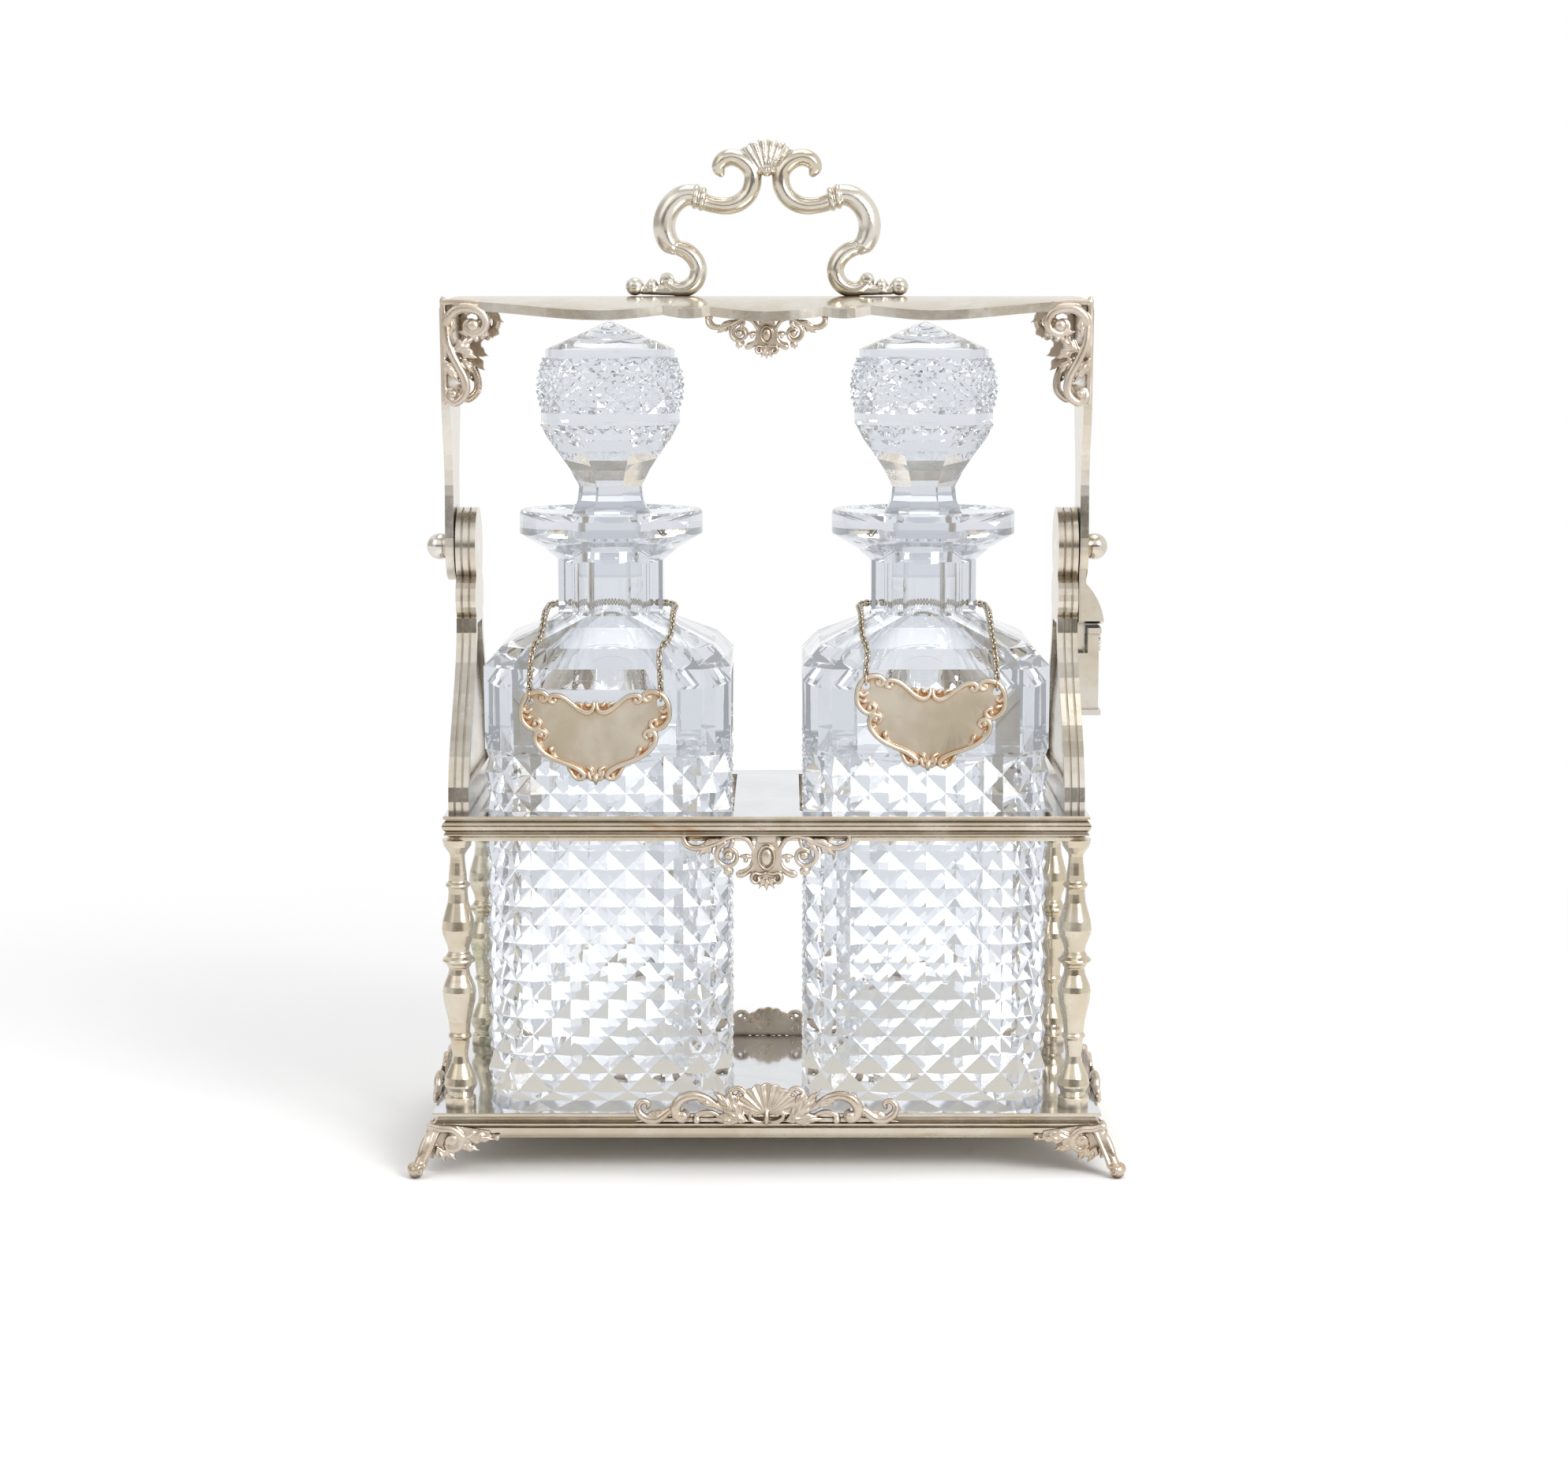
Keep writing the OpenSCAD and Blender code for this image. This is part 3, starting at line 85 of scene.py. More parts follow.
def tube(bm, run, flat=1.0, lift=0.0, sides=12, ridge=0.0, normal=(0, 0, 1), sit=True):
    """Round-ended strand along (u, v, r) or (u, v, w, r) points. It sits on w = lift unless told otherwise."""
    same_point = 1e-4
    cap_out, cap_r = 0.80, 0.55
    pts, radii = [], []
    for p in run:
        r = p[-1]
        w = p[2] if len(p) == 4 else 0.0
        pts.append(Vector((p[0], p[1], w + lift + (r * flat if sit else 0.0))))
        radii.append(r)
    keep = [0]
    for i in range(1, len(pts)):
        if (pts[i] - pts[keep[-1]]).length > same_point:
            keep.append(i)
    pts = [pts[i] for i in keep]
    radii = [radii[i] for i in keep]
    up = Vector(normal)
    tangents = []
    for i in range(len(pts)):
        t = pts[min(i + 1, len(pts) - 1)] - pts[max(i - 1, 0)]
        tangents.append(t.normalized())
    rings = []
    first, last = tangents[0], tangents[-1]
    stations = [(pts[0] - first * radii[0] * cap_out, radii[0] * cap_r, first)]
    stations += zip(pts, radii, tangents)
    stations += [(pts[-1] + last * radii[-1] * cap_out, radii[-1] * cap_r, last)]
    for p, r, t in stations:
        side = up.cross(t)
        side = side.normalized() if side.length > 1e-6 else Vector((1, 0, 0))
        n = t.cross(side).normalized()
        ring = []
        for a in turns(sides):
            rr = r * (1 + ridge * math.cos(2 * a) ** 2 * (1 if math.sin(a) >= 0 else 0))
            ring.append(bm.verts.new(p + side * rr * math.cos(a) + n * rr * flat * math.sin(a)))
        rings.append(ring)
    for a, b in zip(rings, rings[1:]):
        for k in range(sides):
            bm.faces.new((a[k], a[(k + 1) % sides], b[(k + 1) % sides], b[k]))
    tip_a = bm.verts.new(pts[0] - first * radii[0])
    tip_b = bm.verts.new(pts[-1] + last * radii[-1])
    for k in range(sides):
        bm.faces.new((tip_a, rings[0][(k + 1) % sides], rings[0][k]))
        bm.faces.new((tip_b, rings[-1][k], rings[-1][(k + 1) % sides]))


def ball(bm, c, r, s=(1, 1, 1), seg=14, rings=8):
    """Ball of radius r at c, stretched by s."""
    out = bmesh.ops.create_uvsphere(bm, u_segments=seg, v_segments=rings, radius=1.0)
    for v in out["verts"]:
        v.co = Vector((c[0] + v.co.x * r * s[0], c[1] + v.co.y * r * s[1], c[2] + v.co.z * r * s[2]))


def close_sheet(bm, top, low):
    """Faces over two grids of vertices, one above the other, and all round their edges."""
    rows, across = len(top) - 1, len(top[0]) - 1
    for i in range(rows):
        for j in range(across):
            bm.faces.new((top[i][j], top[i + 1][j], top[i + 1][j + 1], top[i][j + 1]))
            bm.faces.new((low[i][j], low[i][j + 1], low[i + 1][j + 1], low[i + 1][j]))
        bm.faces.new((low[i][0], low[i + 1][0], top[i + 1][0], top[i][0]))
        bm.faces.new((low[i + 1][across], low[i][across], top[i][across], top[i + 1][across]))
    for i, flip in ((0, False), (rows, True)):
        for j in range(across):
            f = (low[i][j], top[i][j], top[i][j + 1], low[i][j + 1])
            bm.faces.new(tuple(reversed(f)) if flip else f)


def leaf(bm, o, ang, length, width, lobes, rise, h, base):
    """Lobed leaf with a midrib and fluted lobes, from o at ang degrees, h high over its base."""
    n, m = 26, 8
    least_half = 0.05
    lobe_share, lobe_sweep = 0.30, 0.10
    flute_depth, rib_h, rib_w = 0.16, 0.20, 0.16
    ca, sa = math.cos(math.radians(ang)), math.sin(math.radians(ang))
    top, low = [], []
    for i in range(n + 1):
        t = i / n
        row_t, row_l = [], []
        taper = 1 - t ** 2.2
        body = 0.15 + math.sin(math.pi * t ** 0.7)
        swell = 0.35 + 0.65 * math.sin(math.pi * min(t * 0.85 + 0.12, 1))
        for j in range(-m, m + 1):
            s = j / m
            wave = abs(math.cos(math.pi * lobes * t)) if s >= 0 else abs(math.sin(math.pi * lobes * t))
            half = width / 2 * body * (1 - lobe_share + lobe_share * wave) * taper + least_half
            x = length * t + lobe_sweep * length * abs(s) * taper * (0.4 + wave * 0.6)
            y = rise * t * t + s * half
            dome = 0.30 + 0.70 * math.sqrt(max(0.0, 1 - s * s))
            flute = flute_depth * math.cos(2 * math.pi * (lobes * t - 0.9 * abs(s)))
            rib = rib_h * math.exp(-(s / rib_w) ** 2)
            w = base + h * dome * swell * (1 + flute) + h * rib * (1 - t)
            u, v = o[0] + x * ca - y * sa, o[1] + x * sa + y * ca
            row_t.append(bm.verts.new((u, v, w)))
            row_l.append(bm.verts.new((u, v, 0)))
        top.append(row_t)
        low.append(row_l)
    close_sheet(bm, top, low)


def plate(bm, outline, t0, t1, holes=()):
    """Flat prism over a closed outline of (u, v) points, with holes."""
    edges = {t0: [], t1: []}
    for loop in (outline, *holes):
        n = len(loop)
        low = [bm.verts.new((p[0], p[1], t0)) for p in loop]
        top = [bm.verts.new((p[0], p[1], t1)) for p in loop]
        for i in range(n):
            j = (i + 1) % n
            edges[t0].append(bm.edges.new((low[i], low[j])))
            edges[t1].append(bm.edges.new((top[i], top[j])))
            bm.faces.new((low[i], low[j], top[j], top[i]))
    for level in edges.values():
        bmesh.ops.triangle_fill(bm, edges=level, use_beauty=True)


def inset(outline, d):
    """The outline moved inwards by d; it runs anticlockwise."""
    out = []
    n = len(outline)
    for i, p in enumerate(outline):
        t = Vector(outline[(i + 1) % n]) - Vector(outline[i - 1])
        t.normalize()
        out.append((p[0] - t.y * d, p[1] + t.x * d))
    return out


def shell(bm, c, r, flutes, spread, h, base, n=14):
    """Scallop: a domed fan whose hollow flutes lie between fine raised lines."""
    per = 8
    hub, bulge = 0.06, 0.065
    hollow_depth, line_h, rim_h, rim_at = 0.34, 0.16, 0.22, 0.82
    total = flutes * per
    top, low = [], []
    for i in range(n + 1):
        t = hub + (1 - hub) * i / n
        row_t, row_l = [], []
        for j in range(total + 1):
            k = j / per
            a = math.radians(90 + spread / 2 - spread * j / total)
            f = k - math.floor(k) if j < total else 1.0
            bow = math.sin(math.pi * f)
            rr = r * t * (1 + bulge * bow * t ** 3)
            line = 1 - bow ** 0.55
            dome = 0.25 + 0.75 * math.sin(math.pi * min(0.18 + 0.72 * t, 1))
            rim = max(0, t - rim_at) / (1 - rim_at)
            w = base + h * (dome - hollow_depth * bow * t + line_h * line + rim_h * rim)
            w *= 0.62 + 0.38 * math.sin(math.pi * j / total)
            u, v = c[0] + rr * math.cos(a), c[1] + rr * math.sin(a)
            row_t.append(bm.verts.new((u, v, w)))
            row_l.append(bm.verts.new((u, v, 0)))
        top.append(row_t)
        low.append(row_l)
    close_sheet(bm, top, low)


def mirrored(bm):
    """Adds the mirror image across u = 0."""
    copies = bmesh.ops.duplicate(bm, geom=bm.verts[:] + bm.edges[:] + bm.faces[:])["geom"]
    for copy in copies:
        if isinstance(copy, bmesh.types.BMVert):
            copy.co.x = -copy.co.x
    bmesh.ops.reverse_faces(bm, faces=[copy for copy in copies if isinstance(copy, bmesh.types.BMFace)])


def to_mesh(bm, name):
    """The bmesh as a mesh. The bmesh is freed."""
    mesh = bpy.data.meshes.new(name)
    bm.to_mesh(mesh)
    bm.free()
    return mesh


def merge(bm, part):
    """Moves the shapes of another bmesh into this one."""
    piece = to_mesh(part, "piece")
    bm.from_mesh(piece)
    bpy.data.meshes.remove(piece)


def rounded(mesh):
    """The mesh, with smooth shading."""
    for face in mesh.polygons:
        face.use_smooth = True
    return mesh


def cast(bm, name, voxel, passes, keep=0.4):
    """Melts overlapping forms into one casting, softens it, and keeps a share of its triangles."""
    bmesh.ops.recalc_face_normals(bm, faces=bm.faces)
    mesh = to_mesh(bm, name)
    ob = bpy.data.objects.new(name, mesh)
    bpy.context.scene.collection.objects.link(ob)
    melt = ob.modifiers.new("melt", "REMESH")
    melt.mode = "VOXEL"
    melt.voxel_size = voxel * 1.0
    melt.adaptivity = 0.0
    soft = ob.modifiers.new("soft", "SMOOTH")
    soft.factor = 0.5
    soft.iterations = passes
    thin = ob.modifiers.new("thin", "DECIMATE")
    thin.ratio = keep
    depsgraph = bpy.context.evaluated_depsgraph_get()
    done = bpy.data.meshes.new_from_object(ob.evaluated_get(depsgraph))
    bpy.data.objects.remove(ob)
    bpy.data.meshes.remove(mesh)
    done.name = name
    return rounded(done)


def place(mesh, matrix, name, body, material, replaced):
    """A copy of a millimetre mesh, moved by the matrix and scaled to metres."""
    data = mesh.copy()
    data.name = name
    data.transform(Matrix.Scale(MM, 4) @ matrix)
    if matrix.determinant() < 0:
        data.flip_normals()
    ob = bpy.data.objects.new(name, data)
    bpy.context.scene.collection.objects.link(ob)
    data.materials.clear()
    data.materials.append(material)
    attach(ob, body)
    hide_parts(*replaced)


def rot(axis, deg):
    return Matrix.Rotation(math.radians(deg), 4, axis)


def shift(x, y, z):
    return Matrix.Translation((x, y, z))


def mirror(x=1, y=1):
    return Matrix.Diagonal((x, y, 1, 1))


# Stands a casting up: u across, v up, its face to the front
STAND = Matrix(((1, 0, 0, 0), (0, 0, -1, 0), (0, 1, 0, 0), (0, 0, 0, 1)))


# Materials

def new_material(name):
    """A material with its node tree and its Principled node."""
    mat = bpy.data.materials.new(name)
    mat.use_nodes = True
    tree = mat.node_tree
    bsdf = next(n for n in tree.nodes if n.type == "BSDF_PRINCIPLED")
    return mat, tree, bsdf


def noise(tree, coords, scale, detail, rough, distort=0.0, stretch=None):
    """Noise with about this many features to the metre."""
    source = coords.outputs["Object"]
    if stretch:
        mapping = tree.nodes.new("ShaderNodeMapping")
        mapping.inputs["Scale"].default_value = stretch
        tree.links.new(source, mapping.inputs["Vector"])
        source = mapping.outputs["Vector"]
    node = tree.nodes.new("ShaderNodeTexNoise")
    node.inputs["Scale"].default_value = scale
    node.inputs["Detail"].default_value = detail
    node.inputs["Roughness"].default_value = rough
    node.inputs["Distortion"].default_value = distort
    tree.links.new(source, node.inputs["Vector"])
    return node.outputs["Fac"]


def ramp(tree, source, low, high, a=0.0, b=1.0):
    """Smooth step from a, where the source is low, to b, where it's high."""
    node = tree.nodes.new("ShaderNodeMapRange")
    node.inputs["From Min"].default_value = low
    node.inputs["From Max"].default_value = high
    node.inputs["To Min"].default_value = a
    node.inputs["To Max"].default_value = b
    node.interpolation_type = "SMOOTHSTEP"
    tree.links.new(source, node.inputs["Value"])
    return node.outputs["Result"]


def maths(tree, op, a, b):
    node = tree.nodes.new("ShaderNodeMath")
    node.operation = op
    node.use_clamp = op in ("ADD", "MULTIPLY", "SUBTRACT")
    for socket, value in zip(node.inputs, (a, b)):
        if isinstance(value, (int, float)):
            socket.default_value = value
        else:
            tree.links.new(value, socket)
    return node.outputs[0]


def mix(tree, factor, a, b):
    """Mix of two colours, each a tuple or a socket."""
    node = tree.nodes.new("ShaderNodeMix")
    node.data_type = "RGBA"
    pairs = ((node.inputs[0], factor), (node.inputs[6], a), (node.inputs[7], b))
    for socket, value in pairs:
        if isinstance(value, (int, float)):
            socket.default_value = value
        elif isinstance(value, (tuple, list)):
            socket.default_value = (*value, 1.0)
        else:
            tree.links.new(value, socket)
    return node.outputs[2]


def blend(tree, factor, a, b):
    """Mix of two shaders."""
    node = tree.nodes.new("ShaderNodeMixShader")
    for source, socket in zip((factor, a, b), node.inputs):
        tree.links.new(source, socket)
    return node.outputs[0]


def emission(tree, colour):
    """Plain light of one colour."""
    node = tree.nodes.new("ShaderNodeEmission")
    node.inputs["Color"].default_value = (*colour, 1)
    return node.outputs[0]


def dented(tree, height, strength, depth, bsdf):
    """Fine relief on a surface, from a height map."""
    node = tree.nodes.new("ShaderNodeBump")
    node.inputs["Strength"].default_value = strength
    node.inputs["Distance"].default_value = depth
    tree.links.new(height, node.inputs["Height"])
    tree.links.new(node.outputs["Normal"], bsdf.inputs["Normal"])


def show(tree, shader):
    """Makes this shader the one that the material shows."""
    out = next(n for n in tree.nodes if n.type == "OUTPUT_MATERIAL")
    tree.links.new(shader, out.inputs["Surface"])


def seen_directly(tree):
    """1 for what the camera, a mirror or a glass shows, 0 for light that only spreads."""
    node = tree.nodes.new("ShaderNodeLightPath")
    seen = maths(tree, "ADD", node.outputs["Is Camera Ray"], node.outputs["Is Glossy Ray"])
    return maths(tree, "ADD", seen, node.outputs["Is Transmission Ray"])


def through_glass(tree):
    """1 for a ray that has been through glass."""
    node = tree.nodes.new("ShaderNodeLightPath")
    return maths(tree, "GREATER_THAN", node.outputs["Transmission Depth"], 0.5)


# How many features to the metre each noise has
CLOUDS, SCRATCHES, PATCHES, RUNS, BLOOMS, DENTS, HAZE = 38, 420, 95, 26, 60, 150, 70
RUN_STRETCH = (0.5, 0.5, 2.2)

TARNISH, STAIN, VERDIGRIS = (0.15, 0.10, 0.06), (0.45, 0.26, 0.12), (0.24, 0.31, 0.19)
# Colours of the painted reflection on a flat mirror top
SHEET_REFLECTION_DIM, SHEET_REFLECTION_PALE = (0.64, 0.65, 0.68), (0.72, 0.73, 0.75)
# Colour of the painted glow of a mirror-topped sheet seen through the glass
UNDER_GLASS_PAINTED_GLOW = (0.66, 0.63, 0.57)
# How much the plate's patches differ in tone, how far its warm ones lean from grey, how dark its scratches are
TONE, WARMTH, SCRATCHED = 0.10, (1.02, 0.97, 0.88), 0.72


def silver(name, base, rough, recess=0.6, reach=1.6, brown=TARNISH, stain=0.0, green=0.0, bump=0.25,
           mirror_top=False):
    """Worn silver plate: warm and cool patches, tarnish in the recesses, stains, and fine handling scratches.

    recess is how dark the recesses are and reach how wide, in millimetres; stain and green are the shares of brown
    and green bloom.
    """
    mat, tree, bsdf = new_material(name)
    coords = tree.nodes.new("ShaderNodeTexCoord")
    cloud = noise(tree, coords, CLOUDS, 5, 0.62, 0.4)
    fine = noise(tree, coords, SCRATCHES, 3, 0.7)
    warm = tuple(c * (1 - TONE) * w for c, w in zip(base, WARMTH))
    cool = tuple(min(c * (1 + TONE * 0.5), 1) for c in base)
    colour = mix(tree, ramp(tree, cloud, 0.38, 0.62), warm, cool)
    colour = mix(tree, ramp(tree, fine, 0.60, 0.74, 0.0, 0.25), colour, tuple(c * SCRATCHED for c in base))
    # Dirt in the recesses. A mirror-topped sheet takes none from the bottle that stands on it
    hollow = tree.nodes.new("ShaderNodeAmbientOcclusion")
    hollow.samples = 8
    hollow.only_local = mirror_top
    hollow.inputs["Distance"].default_value = reach * MM
    shade = ramp(tree, hollow.outputs["AO"], 0.35, 0.95, 1.0, 0.0)
    patch = ramp(tree, noise(tree, coords, PATCHES, 4, 0.6), 0.30, 0.70, 0.55, 1.0)
    dirt = maths(tree, "MULTIPLY", maths(tree, "MULTIPLY", shade, patch), recess)
    if stain:
        run = noise(tree, coords, RUNS, 4, 0.65, 0.6, RUN_STRETCH)
        colour = mix(tree, ramp(tree, run, 0.56, 0.70, 0.0, stain), colour, STAIN)
    if green:
        bloom = noise(tree, coords, BLOOMS, 5, 0.7, 0.8)
        colour = mix(tree, ramp(tree, bloom, 0.50, 0.64, 0.0, green), colour, VERDIGRIS)
    colour = mix(tree, dirt, colour, brown)
    # Flat tops: clean of tarnish, and painted a paler cool grey as a painted reflection of the room
    if mirror_top:
        level = tree.nodes.new("ShaderNodeSeparateXYZ")
        tree.links.new(coords.outputs["Normal"], level.inputs[0])
        flat = ramp(tree, level.outputs["Z"], 0.985, 0.998)
        painted_reflection = mix(tree, ramp(tree, cloud, 0.35, 0.65), SHEET_REFLECTION_DIM, SHEET_REFLECTION_PALE)
        clean_painted_top = maths(tree, "MULTIPLY", flat, ramp(tree, dirt, 0.10, 0.60, 1.0, 0.3))
        colour = mix(tree, clean_painted_top, colour, painted_reflection)
    tree.links.new(colour, bsdf.inputs["Base Color"])
    bsdf.inputs["Metallic"].default_value = 1.0
    gloss = ramp(tree, cloud, 0.3, 0.7, rough * 0.75, rough * 1.35)
    gloss = maths(tree, "ADD", gloss, maths(tree, "MULTIPLY", dirt, 0.35))
    gloss = maths(tree, "ADD", gloss, ramp(tree, fine, 0.45, 0.75, 0.0, 0.08))
    if mirror_top:
        gloss = maths(tree, "MULTIPLY", gloss, maths(tree, "SUBTRACT", 1.0, maths(tree, "MULTIPLY", flat, 0.65)))
    tree.links.new(gloss, bsdf.inputs["Roughness"])
    relief = maths(tree, "MULTIPLY", noise(tree, coords, DENTS, 3, 0.55), 0.7)
    dented(tree, maths(tree, "ADD", relief, maths(tree, "MULTIPLY", fine, 0.3)), bump, 0.12 * MM, bsdf)
    if mirror_top:
        # Painted glow: where the sheet that a bottle stands on is seen through the glass, it gives off a pale warm
        # light that stands in for its lit reflection
        back = tree.nodes.new("ShaderNodeNewGeometry").outputs["Backfacing"]
        glow_share = maths(tree, "ADD", maths(tree, "MULTIPLY", back, 0.5), 0.5)
        glow_share = maths(tree, "MULTIPLY", through_glass(tree), glow_share)
        show(tree, blend(tree, glow_share, bsdf.outputs[0], emission(tree, UNDER_GLASS_PAINTED_GLOW)))
    return mat


GLASS_TINT, GLASS_PALE_TINT, GLASS_IOR = (0.975, 0.985, 1.0), (0.98475, 0.99485, 1.0), 1.54
GLASS_PAINTED_GLOW = (0.54, 0.56, 0.60)


def crystal(name):
    """Clear cut glass with a faint unevenness from the wheel."""
    mat, tree, bsdf = new_material(name)
    coords = tree.nodes.new("ShaderNodeTexCoord")
    bsdf.inputs["Transmission Weight"].default_value = 1.0
    bsdf.inputs["Roughness"].default_value = 0.0
    bsdf.inputs["IOR"].default_value = GLASS_IOR
    haze = noise(tree, coords, HAZE, 3, 0.5)
    colour = mix(tree, ramp(tree, haze, 0.35, 0.65), GLASS_TINT, GLASS_PALE_TINT)
    tree.links.new(colour, bsdf.inputs["Base Color"])
    dented(tree, haze, 0.10, 0.2 * MM, bsdf)
    # Painted glow: a ray that has bounced about inside for long ends in pale emitted light, in place of the light it
    # would find
    depth = tree.nodes.new("ShaderNodeLightPath").outputs["Ray Depth"]
    show(tree, blend(tree, ramp(tree, depth, 3.0, 9.0), bsdf.outputs[0], emission(tree, GLASS_PAINTED_GLOW)))
    return mat


plate_silver = silver("silver_plate", (0.62, 0.56, 0.47), 0.20, recess=0.85, reach=2.4, stain=0.80, mirror_top=True)
plain_silver = silver("silver_plain", (0.69, 0.65, 0.58), 0.17, recess=0.70, reach=2.4, stain=0.15)
cast_silver = silver("silver_cast", (0.64, 0.56, 0.48), 0.27, recess=1.0, reach=2.6, stain=0.15, green=0.12, bump=0.4)
green_silver = silver("silver_green", (0.66, 0.62, 0.52), 0.24, recess=0.9, stain=0.2, green=0.60, bump=0.4)
turned_silver = silver("silver_turned", (0.66, 0.60, 0.50), 0.20, recess=0.85, reach=2.2, stain=0.30, green=0.08)
bright_silver = silver("silver_bright", (0.72, 0.69, 0.65), 0.12, reach=1.5)
label_silver = silver("silver_label", (0.58, 0.52, 0.43), 0.36, recess=2.6, reach=2.2, brown=(0.50, 0.25, 0.09),
                      stain=0.12, bump=0.5)
chain_silver = silver("silver_chain", (0.55, 0.49, 0.40), 0.25, recess=0.9, reach=0.8)
dull_metal = silver("metal_dull", (0.18, 0.16, 0.14), 0.4, recess=0.8)
glass = crystal("crystal_clear")


def material_for(name):
    """The material of a solid, by its name."""
    if name.startswith(("decanter", "stopper")):
        return glass
    if name in ("base_tray", "gallery_frame"):
        return plate_silver
    if name == "baluster_rear_left":
        return green_silver
    if name in ("baluster_nuts", "gallery_screws", "lock_plug", "lock_bolt"):
        return dull_metal
    if name.startswith("baluster_"):
        return turned_silver
    if name.startswith(("pivot_screw", "lock_escutcheon")):
        return bright_silver
    if name.startswith(("foot", "tray_mount", "gallery_pendant", "bracket", "bail_pendant")):
        return cast_silver
    if name.startswith("label"):
        return label_silver
    return plain_silver


for name, ob in nodes.items():
    ob.data.materials.clear()
    ob.data.materials.append(material_for(name))


# Tray mounts: shell between acanthus sprays, arms and volutes

def tray_mount_mesh():
    bm = bmesh.new()
    # Right side
    tube(bm, arc((8.9, 9.6), 1.9, 0.9, 200, -60, 0.7, 0.5), 1.1)
    tube(bm, smooth([(7.2, 9.2, 0.8), (8.6, 12.0, 0.9), (11.2, 12.4, 0.9), (13.2, 10.2, 0.9), (13.4, 7.0, 0.9),
                     (12.2, 4.6, 0.8)]))
    leaf(bm, (7.2, 1.2), 41, 16.5, 6.2, 4, 0.6, 1.9, 0.7)
    leaf(bm, (10.2, 5.4), 66, 7.6, 3.6, 2, 0.2, 1.5, 0.9)
    leaf(bm, (8.4, 1.2), 4, 12.2, 4.4, 2, -0.2, 1.6, 0.6)
    leaf(bm, (6.2, 1.0), 22, 9.0, 4.0, 3, 0.2, 1.8, 0.9)
    tube(bm, smooth([(15.0, 4.8, 0.8), (17.6, 6.6, 1.2), (21.0, 9.1, 1.5), (25.2, 10.2, 1.7), (29.4, 9.0, 1.9),
                     (31.6, 5.8, 1.9), (31.0, 2.9, 1.7), (28.9, 1.9, 1.5), (27.4, 3.2, 1.1), (28.3, 4.6, 0.8)]), 1.0)
    ball(bm, (28.9, 3.0, 1.9), 1.9, (1, 1, 0.9))
    leaf(bm, (17.8, 6.2), 33, 9.4, 3.2, 3, -1.4, 1.3, 1.6)
    tube(bm, smooth([(15.5, 1.9, 0.6), (18.6, 3.9, 0.8), (21.6, 4.1, 0.9), (24.2, 2.9, 1.0), (24.3, 1.3, 0.9)]), 1.0)
    ball(bm, (24.2, 1.4, 1.2), 1.35)
    tube(bm, smooth([(30.8, 6.0, 1.0), (33.2, 5.2, 1.3), (35.2, 3.6, 1.5), (37.8, 1.9, 1.6), (41.2, 1.9, 1.6),
                     (44.0, 3.8, 1.5), (44.6, 6.4, 1.3), (42.8, 8.1, 1.1), (40.8, 7.2, 0.9), (41.2, 5.7, 0.7)]), 1.0)
    leaf(bm, (35.6, 5.2), -30, 8.6, 2.6, 2, 1.6, 1.3, 1.2)
    tube(bm, smooth([(1.4, 0.8, 0.7), (3.6, 0.9, 0.9), (5.6, 2.2, 0.9), (5.4, 4.3, 0.8), (3.6, 4.8, 0.7),
                     (3.1, 3.5, 0.6)]), 1.4)
    mirrored(bm)
    # Shell with a drop at its foot
    shell(bm, (0, 3.3), 10.5, 9, 176, 2.3, 0.7)
    tube(bm, smooth([(0, 0.4, 0.7), (0, 2.4, 1.1), (0, 5.2, 0.8)]), 1.9)
    plate(bm, [(-46, 0.6), (46, 0.6), (43, 1.6), (33, 2.2), (20, 2.0), (-20, 2.0), (-33, 2.2), (-43, 1.6)], 0.05, 0.9)
    return cast(bm, "tray_mount", 0.21, 2)


MOUNT_Z = TRAY_TOP - 3.4
END_MOUNT_SIZE = 0.78

mount = tray_mount_mesh()
for name, turn, reach, size in (("front", 0, TRAY_D / 2, 1.0), ("rear", 180, TRAY_D / 2, 1.0),
                                ("left", 270, TRAY_W / 2, END_MOUNT_SIZE), ("right", 90, TRAY_W / 2, END_MOUNT_SIZE)):
    m = rot("Z", turn) @ shift(0, -reach, MOUNT_Z) @ Matrix.Scale(size, 4) @ STAND
    place(mount, m, f"tray_mount_{name}_cast", "stand", cast_silver, [f"tray_mount_{name}"])


# Cartouche pendants

